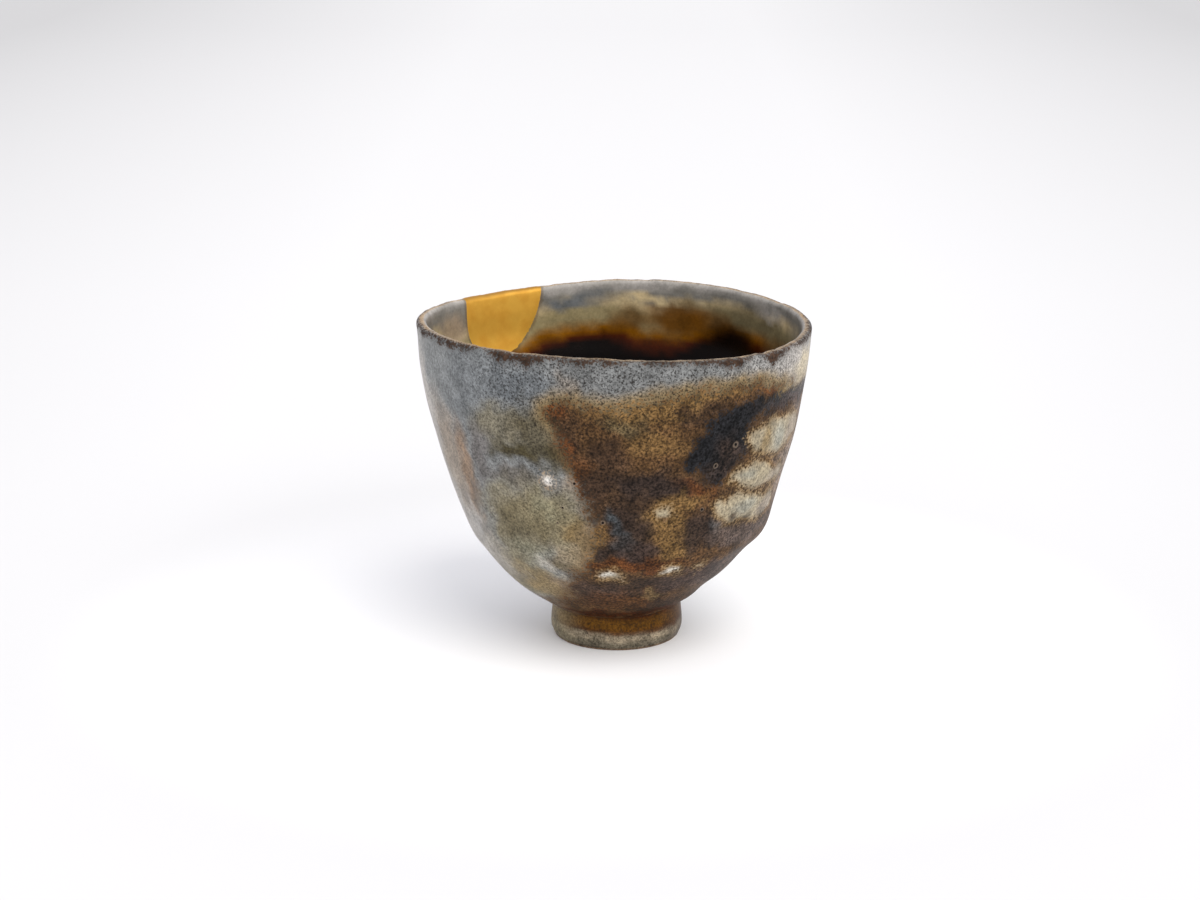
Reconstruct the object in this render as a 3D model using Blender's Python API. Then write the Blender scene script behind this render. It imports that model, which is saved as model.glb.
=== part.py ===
"""Kintsugi teacup: a thrown stoneware cup on a trimmed foot ring, with a gold lacquer fill in its rim.

Metres, +Z up, the side seen first faces -Y. The origin is on the ground below the middle of the cup.
A turn is an angle around the cup in degrees, from 0 at the front, growing towards +X.
"""

import math

import bmesh
import bpy
from mathutils import Vector

# Bowl
CUP_HEIGHT = 0.0760
RIM_DIAMETER = 0.0900
RIM_WALL = 0.0024
HIP_WALL = 0.0037
FLOOR_THICKNESS = 0.0052

# Foot ring and the recess turned out under it
FOOT_HEIGHT = 0.0086
FOOT_DIAMETER = 0.0312
FOOT_SWELL_HEIGHT = 0.0028
FOOT_NECK = 0.0005
FOOT_CHAMFER = 0.0010
FOOT_RING_WIDTH = 0.0042
FOOT_LEDGE = 0.0012
RECESS_DEPTH = 0.0050
RECESS_FILLET = 0.0015

# Outer line of the bowl between foot and lip, each point as a share of the bowl's radius and its height
BOWL_LINE = {
    "flank": (0.237, 0.080),
    "cone": (0.526, 0.214),
    "hip": (0.667, 0.310),
    "belly": (0.829, 0.525),
    "shoulder": (0.966, 0.790),
}
HIP_SHARE = BOWL_LINE["hip"][1]

# Hand-made shape: lobes of the rim seen from above and waves of its edge seen from the side,
# each as (how many around, amount, turn of its crest)
RIM_LOBES = (
    (2, 0.00088, -74.0),
    (3, 0.00080, 18.0),
)
RIM_WAVES = (
    (1, 0.00072, -111.0),
    (2, 0.00066, -22.5),
    (3, 0.00015, 43.0),
    (4, 0.00022, -3.0),
)
THROWING_RING_PITCH = 0.0160
THROWING_RING_DEPTH = 0.00028

# Where the trimming knife left the join of bowl and foot higher
JOIN_RISE = 0.0011
JOIN_RISE_TURN = 80.0
JOIN_RISE_SPREAD = 45.0
JOIN_RISE_REACH = 0.0030

# Marks of knife and fingers on the outside, each as
# (turn, height on the cup, half width, half height, amount): cut or pressed in below zero, raised above
TOOL_MARKS = {
    "ledge_groove": (-26.0, 0.0505, 0.0085, 0.0016, -0.00055),
    "ledge_lip": (-25.0, 0.0545, 0.0085, 0.0024, 0.00030),
    "left_facet_outer": (-66.0, 0.0420, 0.0075, 0.0150, -0.00050),
    "left_facet_inner": (-38.0, 0.0370, 0.0075, 0.0130, -0.00040),
    "left_arris": (-51.0, 0.0400, 0.0022, 0.0150, 0.00040),
    "left_lower_swell": (-84.0, 0.0160, 0.0120, 0.0060, 0.00070),
    "lower_left_facet": (-34.0, 0.0200, 0.0060, 0.0060, -0.00055),
    "lower_left_arris": (-24.0, 0.0225, 0.0018, 0.0050, 0.00035),
    "finger_top": (60.0, 0.0550, 0.0090, 0.0034, 0.00035),
    "finger_middle": (55.0, 0.0455, 0.0090, 0.0030, 0.00040),
    "finger_low": (50.0, 0.0382, 0.0090, 0.0026, 0.00040),
    "groove_top": (64.0, 0.0625, 0.0100, 0.0018, -0.00040),
    "groove_upper": (56.0, 0.0490, 0.0095, 0.0013, -0.00045),
    "groove_lower": (52.0, 0.0418, 0.0095, 0.0012, -0.00045),
    "right_shoulder_press": (82.0, 0.0600, 0.0150, 0.0080, -0.00075),
    "right_side_press": (88.0, 0.0400, 0.0140, 0.0080, -0.00060),
    "right_hip": (84.0, 0.0280, 0.0090, 0.0040, 0.00050),
    "right_trim_upper": (62.0, 0.0235, 0.0100, 0.0035, -0.00070),
    "right_trim_side": (92.0, 0.0180, 0.0120, 0.0050, -0.00090),
    "right_trim_lower": (58.0, 0.0150, 0.0085, 0.0028, -0.00050),
    "right_trim_foot": (86.0, 0.0125, 0.0090, 0.0030, -0.00120),
    "front_trim": (12.0, 0.0190, 0.0100, 0.0035, -0.00040),
    "back_trim_left": (-140.0, 0.0220, 0.0110, 0.0060, -0.00055),
    "back_trim_right": (150.0, 0.0200, 0.0110, 0.0055, -0.00055),
    "back_facet": (172.0, 0.0450, 0.0110, 0.0130, -0.00040),
    "back_press": (-118.0, 0.0560, 0.0100, 0.0080, -0.00035),
}

# Gold lacquer fill, in place of a lost shard of the rim
FILL_TURN = 222.1
FILL_WIDTH = 0.0240
FILL_DEPTH = 0.0156
FILL_DRIFT = 0.0026
FILL_SQUARENESS = 2.3
FIT_GAP = 0.0003
CUTTER_REACH = 0.0100

# Fineness of the meshes
AROUND = 80
BOWL_STEPS = 20
LIP_STEPS = 5
FLOOR_STEPS = 8
FILL_STEPS = 18
SHARP_ANGLE = math.radians(40.0)

RIM_RADIUS = RIM_DIAMETER / 2
FOOT_RADIUS = FOOT_DIAMETER / 2
NECK_RADIUS = FOOT_RADIUS - FOOT_NECK
CONTACT_RADIUS = FOOT_RADIUS - FOOT_CHAMFER
RECESS_RADIUS = CONTACT_RADIUS - FOOT_RING_WIDTH
LIP_RADIUS = RIM_WALL / 2


def smooth_step(share):
    """Ease from 0 to 1 as the share goes from 0 to 1."""
    share = min(max(share, 0.0), 1.0)
    return share * share * (3.0 - 2.0 * share)


def smooth_curve(points, steps):
    """Points along a smooth curve through the given ones, closer together where these are."""
    ends = [2 * points[0] - points[1], *points, 2 * points[-1] - points[-2]]
    curve = []
    for index in range(steps + 1):
        place = index * (len(points) - 1) / steps
        span = min(int(place), len(points) - 2)
        t = place - span
        a, b, c, d = ends[span:span + 4]
        leave, arrive = (c - a) / 2, (d - b) / 2
        curve.append(
            b * (2 * t**3 - 3 * t**2 + 1)
            + c * (3 * t**2 - 2 * t**3)
            + leave * (t**3 - 2 * t**2 + t)
            + arrive * (t**3 - t**2)
        )
    return curve


def bowl_share(height):
    """How far up the bowl a height is: 0 at the top of the foot, 1 at the lip."""
    return (height - FOOT_HEIGHT) / (CUP_HEIGHT - FOOT_HEIGHT)


def wall_at(height):
    """Wall thickness at a height, thick at the hip and below, thin at the lip."""
    share = (bowl_share(height) - HIP_SHARE) / (1.0 - HIP_SHARE)
    return HIP_WALL + (RIM_WALL - HIP_WALL) * smooth_step(share)


def outer_line():
    """Outer side of the bowl, from the foot up to where the lip turns over."""
    start = Vector((NECK_RADIUS + FOOT_LEDGE, FOOT_HEIGHT))
    end = Vector((RIM_RADIUS, CUP_HEIGHT - LIP_RADIUS))
    span = end - start
    points = [Vector((start.x + span.x * out, start.y + span.y * up)) for out, up in BOWL_LINE.values()]
    return smooth_curve([start, *points, end], BOWL_STEPS)


def inner_line(outer):
    """Inner side of the bowl, from the lip down and in to the middle of the floor."""
    wall = []
    for before, point, after in zip(outer, outer[1:], outer[2:]):
        along = (after - before).normalized()
        inward = Vector((-along.y, along.x))
        wall.append(point + inward * wall_at(point.y))
    wall = [point for point in wall if bowl_share(point.y) > BOWL_LINE["cone"][1]]
    wall.append(outer[-1] - Vector((RIM_WALL, 0.0)))
    low, above = wall[0], wall[1]
    middle = RECESS_DEPTH + FLOOR_THICKNESS
    slope = (above.y - low.y) / (above.x - low.x)
    bend = slope * low.x / (low.y - middle)
    floor = []
    for index in range(1, FLOOR_STEPS + 1):
        share = 1.0 - index / FLOOR_STEPS
        floor.append(Vector((low.x * share, middle + (low.y - middle) * share**bend)))
    return wall[::-1] + floor


def foot_line():
    """Underside of the foot and its outer side, from the middle of the recess out and up to the bowl."""
    corner = Vector((RECESS_RADIUS - RECESS_FILLET, RECESS_DEPTH - RECESS_FILLET))
    fillet = []
    for index in range(4):
        angle = math.radians(90.0 - 30.0 * index)
        fillet.append(corner + RECESS_FILLET * Vector((math.cos(angle), math.sin(angle))))
    ring = [
        Vector((RECESS_RADIUS, 0.0)),
        Vector((CONTACT_RADIUS - FOOT_RING_WIDTH / 2, 0.0)),
        Vector((CONTACT_RADIUS, 0.0)),
    ]
    side = smooth_curve(
        [
            Vector((CONTACT_RADIUS + FOOT_CHAMFER / 4, FOOT_CHAMFER / 4)),
            Vector((FOOT_RADIUS, FOOT_SWELL_HEIGHT)),
            Vector((NECK_RADIUS, FOOT_HEIGHT - FOOT_LEDGE / 2)),
        ],
        4,
    )
    middle = [Vector((0.0, RECESS_DEPTH)), Vector((corner.x / 2, RECESS_DEPTH))]
    return middle + fillet + ring + side


def lip_line():
    """Rounded top of the wall, from the outer side over to the inner one."""
    centre = Vector((RIM_RADIUS - LIP_RADIUS, CUP_HEIGHT - LIP_RADIUS))
    angles = [math.pi * index / (LIP_STEPS + 1) for index in range(1, LIP_STEPS + 1)]
    return [centre + LIP_RADIUS * Vector((math.cos(angle), math.sin(angle))) for angle in angles]


def cup_profile():
    """Half section of the cup from axis to axis, each point with 1 on the outside of the bowl, else 0."""
    outer = outer_line()
    profile = [(point, 0.0) for point in foot_line()]
    profile += [(point, 1.0) for point in outer]
    profile += [(point, 0.0) for point in lip_line() + inner_line(outer)]
    return profile


def turned_body():
    """Solid of revolution of the cup's section, with the outside marked on a layer."""
    body = bmesh.new()
    outside = body.verts.layers.float.new("outside")
    section = []
    for point, share in cup_profile():
        vertex = body.verts.new((point.x, 0.0, point.y))
        vertex[outside] = share
        section.append(vertex)
    edges = [body.edges.new(pair) for pair in zip(section, section[1:])]
    bmesh.ops.spin(
        body,
        geom=section + edges,
        cent=(0.0, 0.0, 0.0),
        axis=(0.0, 0.0, 1.0),
        angle=math.tau,
        steps=AROUND,
        use_merge=True,
    )
    bmesh.ops.remove_doubles(body, verts=body.verts, dist=0.000001)
    bmesh.ops.recalc_face_normals(body, faces=body.faces)
    return body


def turn_of(x, y):
    """Turn of a place around the axis, in degrees."""
    return math.degrees(math.atan2(x, -y))


def waves(table, turn):
    """Sum of the waves in a table at one turn."""
    return sum(amount * math.cos(count * math.radians(turn - crest)) for count, amount, crest in table)


def tool_mark(mark, turn, radius, height):
    """Depth of one mark at a place on the outside."""
    mark_turn, mark_height, half_width, half_height, amount = mark
    apart = (turn - mark_turn + 180.0) % 360.0 - 180.0
    across = math.radians(apart) * radius / half_width
    along = (height - mark_height) / half_height
    return amount * math.exp(-(across * across) - along * along)


def join_rise(turn, height):
    """How far the join of bowl and foot stands higher at a place on the outside."""
    apart = (turn - JOIN_RISE_TURN + 180.0) % 360.0 - 180.0
    along = (height - FOOT_HEIGHT) / JOIN_RISE_REACH
    amount = JOIN_RISE * smooth_step(height / FOOT_HEIGHT)
    return amount * math.exp(-((apart / JOIN_RISE_SPREAD) ** 2) - along * along)


def shape_by_hand(body):
    """Press the turned body out of round, wave its rim and cut the marks into its outside."""
    outside = body.verts.layers.float["outside"]
    body.normal_update()
    moves = []
    for vertex in body.verts:
        x, y, height = vertex.co
        radius = math.hypot(x, y)
        turn = turn_of(x, y)
        above_foot = smooth_step(bowl_share(height) / BOWL_LINE["flank"][1])
        above_hip = (bowl_share(height) - HIP_SHARE) / (1.0 - HIP_SHARE)
        lift = max(above_hip, 0.0)
        outward = Vector((x, y, 0.0)).normalized() if radius > 0.0 else Vector()
        move = outward * waves(RIM_LOBES, turn) * min(lift, 1.0)
        move.z += waves(RIM_WAVES, turn) * lift * lift
        marks = sum(tool_mark(mark, turn, radius, height) for mark in TOOL_MARKS.values())
        move += vertex.normal * marks * vertex[outside] * above_foot
        faces_in = not vertex[outside] and vertex.normal.dot(outward) < 0.0
        if radius > RECESS_RADIUS and not faces_in:
            move.z += join_rise(turn, height)
        if faces_in:
            ring = math.cos(math.tau * (height / THROWING_RING_PITCH - turn / 360.0))
            fade = smooth_step(bowl_share(height) / HIP_SHARE) * smooth_step((1.0 - above_hip) * 3.0)
            move += vertex.normal * THROWING_RING_DEPTH * ring * fade
        moves.append(move)
    for vertex, move in zip(body.verts, moves):
        vertex.co += move


def fill_outline(clearance):
    """Outline of the fill as (distance along the rim, depth below it), moved in by a clearance."""
    outline = []
    for index in range(FILL_STEPS + 1):
        swing = math.pi * index / FILL_STEPS
        side, down = math.cos(swing), math.sin(swing)
        along = math.copysign(abs(side) ** (2.0 / FILL_SQUARENESS), side) * FILL_WIDTH / 2
        depth = down ** (2.0 / FILL_SQUARENESS) * FILL_DEPTH
        outline.append(Vector((along + FILL_DRIFT * (depth / FILL_DEPTH), depth)))
    moved = []
    for index, point in enumerate(outline):
        before = outline[max(index - 1, 0)]
        after = outline[min(index + 1, FILL_STEPS)]
        along = (after - before).normalized()
        moved.append(point + Vector((-along.y, along.x)) * clearance)
    return moved


def fill_cutter(name, clearance):
    """Radial prism on the fill's outline that reaches through the wall and above the rim."""
    outline = fill_outline(clearance)
    above = CUTTER_REACH / 2
    first, last = outline[0], outline[-1]
    top = []
    for index in range(1, FILL_STEPS):
        top.append(Vector((last.x + (first.x - last.x) * index / FILL_STEPS, -above)))
    loop = [Vector((first.x, -above)), *outline, Vector((last.x, -above)), *top]
    mesh = bmesh.new()
    rings = []
    for radius in (RIM_RADIUS - RIM_WALL - CUTTER_REACH, RIM_RADIUS + CUTTER_REACH):
        ring = []
        for point in loop:
            angle = math.radians(FILL_TURN) + point.x / RIM_RADIUS
            place = Vector((math.sin(angle) * radius, -math.cos(angle) * radius, CUP_HEIGHT - point.y))
            ring.append(mesh.verts.new(place))
        rings.append(ring)
        mesh.faces.new(ring)
    inner, outer = rings
    for index in range(len(loop)):
        after = (index + 1) % len(loop)
        mesh.faces.new((inner[index], inner[after], outer[after], outer[index]))
    bmesh.ops.triangulate(mesh, faces=[face for face in mesh.faces if len(face.verts) > 4])
    bmesh.ops.recalc_face_normals(mesh, faces=mesh.faces)
    cutter = add_object(name, mesh)
    cutter.hide_render = True
    cutter.display_type = "WIRE"
    return cutter


def add_object(name, body, material=None):
    """New object in the scene from a bmesh, which is freed."""
    mesh = bpy.data.meshes.new(name)
    body.to_mesh(mesh)
    body.free()
    mesh.shade_smooth()
    mesh.set_sharp_from_angle(angle=SHARP_ANGLE)
    if material:
        mesh.materials.append(material)
    piece = bpy.data.objects.new(name, mesh)
    bpy.context.scene.collection.objects.link(piece)
    return piece


def add_material(name, colour, roughness, metallic):
    """Principled material with one colour, roughness and metallic value."""
    material = bpy.data.materials.new(name)
    material.use_nodes = True
    shader = material.node_tree.nodes["Principled BSDF"]
    shader.inputs["Base Color"].default_value = (*colour, 1.0)
    shader.inputs["Roughness"].default_value = roughness
    shader.inputs["Metallic"].default_value = metallic
    material.diffuse_color = (*colour, 1.0)
    return material


def cut_with(piece, cutter, operation):
    """Boolean of a piece with a cutter, left live on the piece."""
    cut = piece.modifiers.new(cutter.name, "BOOLEAN")
    cut.operation = operation
    cut.solver = "EXACT"
    cut.object = cutter


def shaped_body():
    """The cup's whole body before the fill is parted from it."""
    body = turned_body()
    shape_by_hand(body)
    return body


def build():
    """Make the cup, its gold fill and the empty that centres them over the origin."""
    for old in list(bpy.data.objects):
        bpy.data.objects.remove(old)
    stoneware = add_material("wood_fired_stoneware", (0.16, 0.12, 0.09), 0.55, 0.0)
    gold = add_material("gold_dusted_lacquer", (0.62, 0.36, 0.07), 0.42, 1.0)

    cup = add_object("stoneware_cup", shaped_body(), stoneware)
    fill = add_object("gold_lacquer_fill", shaped_body(), gold)
    notch = fill_cutter("fill_notch", 0.0)
    plug = fill_cutter("fill_plug", FIT_GAP)
    cut_with(cup, notch, "DIFFERENCE")
    cut_with(fill, plug, "INTERSECT")

    sides = [[vertex.co[axis] for vertex in cup.data.vertices] for axis in (0, 1)]
    holder = bpy.data.objects.new("kintsugi_teacup", None)
    holder.location = [-(min(side) + max(side)) / 2 for side in sides] + [0.0]
    bpy.context.scene.collection.objects.link(holder)
    for piece in (cup, fill, notch, plug):
        piece.parent = holder
    bpy.context.view_layer.update()


build()
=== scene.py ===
"""Looks of the kintsugi teacup: a wood-fired stoneware cup with a gold lacquer fill in its rim.

Sizes are in millimetres until a mesh is finished. A turn is an angle around the cup in degrees,
from 0 at the front, growing towards +X. A height is measured on the cup before it is pressed out of round.
"""

import logging
import math
from dataclasses import dataclass, field
from enum import Enum

import bpy
import numpy as np
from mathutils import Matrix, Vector, noise
from mathutils.kdtree import KDTree

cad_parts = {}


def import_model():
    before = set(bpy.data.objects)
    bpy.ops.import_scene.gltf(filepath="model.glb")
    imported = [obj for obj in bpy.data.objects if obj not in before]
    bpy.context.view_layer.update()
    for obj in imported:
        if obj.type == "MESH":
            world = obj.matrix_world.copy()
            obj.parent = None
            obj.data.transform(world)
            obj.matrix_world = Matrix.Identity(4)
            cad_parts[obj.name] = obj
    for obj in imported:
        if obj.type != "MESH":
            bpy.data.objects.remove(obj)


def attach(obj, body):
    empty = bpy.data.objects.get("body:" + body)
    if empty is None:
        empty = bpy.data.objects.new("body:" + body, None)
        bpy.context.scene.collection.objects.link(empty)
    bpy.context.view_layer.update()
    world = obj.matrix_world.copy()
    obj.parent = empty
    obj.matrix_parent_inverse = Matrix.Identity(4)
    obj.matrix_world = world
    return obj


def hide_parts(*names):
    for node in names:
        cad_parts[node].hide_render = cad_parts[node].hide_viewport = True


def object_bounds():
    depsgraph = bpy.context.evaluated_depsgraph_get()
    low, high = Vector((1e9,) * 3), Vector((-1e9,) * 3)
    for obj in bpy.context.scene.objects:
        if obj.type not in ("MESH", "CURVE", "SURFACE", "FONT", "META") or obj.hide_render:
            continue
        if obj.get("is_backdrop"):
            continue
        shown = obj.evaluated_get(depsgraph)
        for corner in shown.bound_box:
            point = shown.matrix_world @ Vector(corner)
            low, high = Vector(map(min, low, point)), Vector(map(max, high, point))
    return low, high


LOG = logging.getLogger("teacup")
METRE = 0.001
BODY = "root"
CUP_NODE = "stoneware_cup"
FILL_NODE = "gold_lacquer_fill"

Array = np.ndarray


def linear(code: str, alpha: float = 1.0) -> tuple[float, float, float, float]:
    """Turn an sRGB hex colour to linear light.

    Args:
        code: Colour as six hex digits after a hash.
        alpha: Fourth channel, passed through.

    Returns:
        Linear red, green and blue, and the fourth channel.
    """
    channels = [int(code[i:i + 2], 16) / 255 for i in (1, 3, 5)]
    light = [c / 12.92 if c <= 0.04045 else ((c + 0.055) / 1.055) ** 2.4 for c in channels]
    return (*light, alpha)


def smooth_step(share: Array) -> Array:
    """Ease from 0 to 1 as the share goes from 0 to 1."""
    share = np.clip(share, 0.0, 1.0)
    return share * share * (3.0 - 2.0 * share)


def rise(level: Array, start: float, end: float) -> Array:
    """Ease from 0 at the start to 1 at the end, which may be the lower of the two."""
    return smooth_step((level - start) / (end - start))


def blend(under: Array, over: Array, share: Array) -> Array:
    """Colours part of the way from one set to another."""
    return under + (over - under) * share[:, None]


def along_span(four: list[Array], share: Array) -> Array:
    """Places on the smooth curve between the middle two of four points.

    Args:
        four: The points before, at the start, at the end and after, each with one row per place.
        share: How far along each place is, from 0 to 1.

    Returns:
        The places, one row each.
    """
    before, start, end, after = four
    t = share[:, None]
    return (
        start * (2 * t**3 - 3 * t**2 + 1)
        + end * (3 * t**2 - 2 * t**3)
        + (end - before) / 2 * (t**3 - 2 * t**2 + t)
        + (after - start) / 2 * (t**3 - t**2)
    )


def smooth_curve(points: Array, steps: int) -> Array:
    """Points along a smooth curve through the given ones, closer together where these are.

    Args:
        points: Corner points, one per row.
        steps: How many stretches the curve is cut into.

    Returns:
        The curve's points, one more than the steps.
    """
    ends = np.vstack([2 * points[0] - points[1], points, 2 * points[-1] - points[-2]])
    place = np.arange(steps + 1) * (len(points) - 1) / steps
    span = np.minimum(place.astype(int), len(points) - 2)
    return along_span([ends[span + k] for k in range(4)], place - span)


def closed_curve(points: Array, per_span: int = 5) -> Array:
    """Smooth loop through the given points, without repeating the first.

    Args:
        points: Corner points, one per row.
        per_span: How many stretches each side is cut into.

    Returns:
        The loop's points.
    """
    place = np.arange(len(points) * per_span) / per_span
    span = place.astype(int)
    return along_span([points[(span + k) % len(points)] for k in (-1, 0, 1, 2)], place - span)


def off_stretch(x: Array, y: Array, end_x: Array, end_y: Array) -> Array:
    """Distance of places from the straight stretch between the origin and its end."""
    share = np.clip((x * end_x + y * end_y) / np.maximum(end_x * end_x + end_y * end_y, 1e-9), 0.0, 1.0)
    return np.hypot(x - end_x * share, y - end_y * share)


def cloud(points: Array, size: float, shift: float = 0.0) -> Array:
    """Smooth noise between about -1 and 1 at each point.

    Args:
        points: Places in millimetres.
        size: Width of one cloud in millimetres.
        shift: Moves the pattern, so that two clouds of one size differ.

    Returns:
        One value per point.
    """
    offset = Vector((shift, 1.7 * shift, -shift))
    return np.array([noise.noise(Vector(p) + offset) for p in points / size]) * 1.8


def apart(turn: Array, other: float) -> Array:
    """Signed difference of turns in degrees, from -180 to 180."""
    return (turn - other + 180.0) % 360.0 - 180.0


def sector(turn: Array, middle: float, full: float, end: float) -> Array:
    """1 up to a turn away from the middle, easing to 0 at the end, and closed at the back."""
    return rise(np.abs(apart(turn, middle)), end, full)


def hump(turn: Array, radius: Array, middle: float, half_width: float) -> Array:
    """Soft hump around the cup, 1 at its middle, with a half width in millimetres."""
    return np.exp(-((np.radians(apart(turn, middle)) * radius / half_width) ** 2))


def turn_of(points: Array) -> Array:
    """Turn of each point around the axis."""
    return np.degrees(np.arctan2(points[:, 0], -points[:, 1]))


@dataclass(frozen=True)
class ToolMark:
    """One press or cut of finger or knife on the outside of the cup."""

    turn: float
    height: float
    half_width: float
    half_height: float
    amount: float

    def depth(self, turn: Array, radius: Array, height: Array) -> Array:
        """Depth of the mark at places on the cup, below zero where it is cut in."""
        along = (height - self.height) / self.half_height
        return self.amount * hump(turn, radius, self.turn, self.half_width) * np.exp(-along * along)


@dataclass(frozen=True)
class Wave:
    """One wave around the rim."""

    count: int
    amount: float
    crest: float

    def at(self, turn: Array) -> Array:
        """Size of the wave at each turn."""
        return self.amount * np.cos(self.count * np.radians(turn - self.crest))


@dataclass(frozen=True)
class Form:
    """Thrown and trimmed form of the cup, with the sizes of the part's source."""

    height: float = 76.0
    rim_radius: float = 45.0
    rim_wall: float = 2.4
    hip_wall: float = 3.7
    floor: float = 5.2
    foot_height: float = 8.6
    foot_radius: float = 15.6
    foot_swell: float = 2.8
    foot_neck: float = 0.5
    foot_chamfer: float = 1.0
    ring_width: float = 4.2
    ledge: float = 1.2
    recess_depth: float = 5.0
    recess_fillet: float = 1.5
    line: tuple = ((0.237, 0.080), (0.526, 0.214), (0.667, 0.310), (0.829, 0.525), (0.966, 0.790))
    lobes: tuple = (Wave(2, 0.88, -74.0), Wave(3, 0.80, 18.0))
    waves: tuple = (Wave(1, 0.72, -111.0), Wave(2, 0.66, -22.5), Wave(3, 0.15, 43.0), Wave(4, 0.22, -3.0))
    ring_pitch: float = 16.0
    ring_depth: float = 0.28
    join_rise: tuple = (1.1, 80.0, 45.0, 3.0)

    def share(self, height: Array) -> Array:
        """How far up the bowl a height is: 0 at the top of the foot, 1 at the lip."""
        return (height - self.foot_height) / (self.height - self.foot_height)

    def above_hip(self, height: Array) -> Array:
        """How far a height is from the hip to the lip."""
        hip = self.line[2][1]
        return (self.share(height) - hip) / (1.0 - hip)

    def wall(self, height: Array) -> Array:
        """Wall thickness at a height."""
        return self.hip_wall + (self.rim_wall - self.hip_wall) * smooth_step(self.above_hip(height))

    def outer(self, steps: int) -> Array:
        """Draw the outer side of the bowl.

        Args:
            steps: How many stretches the line is cut into.

        Returns:
            Rows of (radius, height), from the foot up to where the lip turns over.
        """
        neck = self.foot_radius - self.foot_neck
        start = np.array([neck + self.ledge, self.foot_height])
        end = np.array([self.rim_radius, self.height - self.rim_wall / 2])
        between = [start + (end - start) * np.array(point) for point in self.line]
        return smooth_curve(np.array([start, *between, end]), steps)

    def inner(self, outer: Array, floor_steps: int) -> Array:
        """Draw the inner side of the bowl, one wall's thickness in from the outer one.

        Args:
            outer: The outer side.
            floor_steps: How many stretches the floor is cut into.

        Returns:
            Rows of (radius, height), from the lip down and in to the middle of the floor.
        """
        along = outer[2:] - outer[:-2]
        along /= np.linalg.norm(along, axis=1)[:, None]
        inward = np.stack([-along[:, 1], along[:, 0]], 1)
        wall = outer[1:-1] + inward * self.wall(outer[1:-1, 1])[:, None]
        wall = wall[self.share(wall[:, 1]) > self.line[1][1]]
        wall = np.vstack([wall, outer[-1] - (self.rim_wall, 0.0)])
        low, above = wall[0], wall[1]
        middle = self.recess_depth + self.floor
        slope = (above[1] - low[1]) / (above[0] - low[0])
        bend = slope * low[0] / (low[1] - middle)
        left = 1.0 - np.arange(1, floor_steps + 1) / floor_steps
        floor = np.stack([low[0] * left, middle + (low[1] - middle) * left**bend], 1)
        return np.vstack([wall[::-1], floor])

    def foot(self) -> Array:
        """Draw the underside of the foot and its side.

        Returns:
            Rows of (radius, height), from the middle of the recess out and up to the bowl.
        """
        contact = self.foot_radius - self.foot_chamfer
        recess = contact - self.ring_width
        corner = np.array([recess - self.recess_fillet, self.recess_depth - self.recess_fillet])
        bow = np.radians(90.0 - 90.0 * np.arange(7) / 6)
        fillet = corner + self.recess_fillet * np.stack([np.cos(bow), np.sin(bow)], 1)
        middle = np.stack([corner[0] * np.arange(5) / 5, np.full(5, self.recess_depth)], 1)
        side_low = (recess, 1.2), (recess, 0.0)
        ring = [(contact - self.ring_width * (1 - k / 4), 0.0) for k in range(1, 5)]
        side = smooth_curve(
            np.array([
                (contact + self.foot_chamfer / 4, self.foot_chamfer / 4),
                (self.foot_radius, self.foot_swell),
                (self.foot_radius - self.foot_neck, self.foot_height - self.ledge / 2),
            ]),
            14,
        )
        return np.vstack([middle, fillet, side_low, ring, side])

    def lip(self, steps: int) -> Array:
        """Draw the rounded top of the wall.

        Args:
            steps: How many points the round has.

        Returns:
            Rows of (radius, height), from the outer side over to the inner one.
        """
        bow = math.pi * np.arange(1, steps + 1) / (steps + 1)
        radius = self.rim_wall / 2
        centre = (self.rim_radius - radius, self.height - radius)
        return centre + radius * np.stack([np.cos(bow), np.sin(bow)], 1)

    def section(self, bowl_steps: int, lip_steps: int, floor_steps: int) -> tuple[Array, Array, Array]:
        """Half section of the cup from axis to axis.

        Args:
            bowl_steps: Stretches of the outer side.
            lip_steps: Points over the lip.
            floor_steps: Stretches of the floor.

        Returns:
            The points, 1 for each point on the outside of the bowl, else 0, and each point's
            distance along the section from the crest of the lip, below zero outside.
        """
        outer = self.outer(bowl_steps)
        inner = self.inner(self.outer(bowl_steps * 2 // 3), floor_steps)
        parts = [self.foot(), outer, self.lip(lip_steps), inner]
        points = np.vstack(parts)
        outside = np.concatenate([np.full(len(part), float(k == 1)) for k, part in enumerate(parts)])
        run = np.concatenate([[0.0], np.cumsum(np.linalg.norm(np.diff(points, axis=0), axis=1))])
        crest = len(parts[0]) + len(outer) + lip_steps // 2
        return points, outside, run - run[crest]


# Presses and cuts as (turn, height, half width, half height, amount)
TOOL_MARKS = tuple(ToolMark(*row) for row in (
    (-26, 50.5, 8.5, 1.6, -0.55), (-25, 54.5, 8.5, 2.4, 0.30), (-66, 42, 7.5, 15, -0.50),
    (-38, 37, 7.5, 13, -0.40), (-51, 40, 2.2, 15, 0.40), (-84, 16, 12, 6, 0.70), (-34, 20, 6, 6, -0.55),
    (-24, 22.5, 1.8, 5, 0.35), (60, 55, 9, 3.4, 0.35), (55, 45.5, 9, 3, 0.40), (50, 38.2, 9, 2.6, 0.40),
    (64, 62.5, 10, 1.8, -0.40), (56, 49, 9.5, 1.3, -0.45), (52, 41.8, 9.5, 1.2, -0.45),
    (82, 60, 15, 8, -0.75), (88, 40, 14, 8, -0.60), (84, 28, 9, 4, 0.50), (62, 23.5, 10, 3.5, -0.70),
    (92, 18, 12, 5, -0.90), (58, 15, 8.5, 2.8, -0.50), (86, 12.5, 9, 3, -1.20), (12, 19, 10, 3.5, -0.40),
    (-140, 22, 11, 6, -0.55), (150, 20, 11, 5.5, -0.55), (172, 45, 11, 13, -0.40), (-118, 56, 10, 8, -0.35),
))


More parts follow.
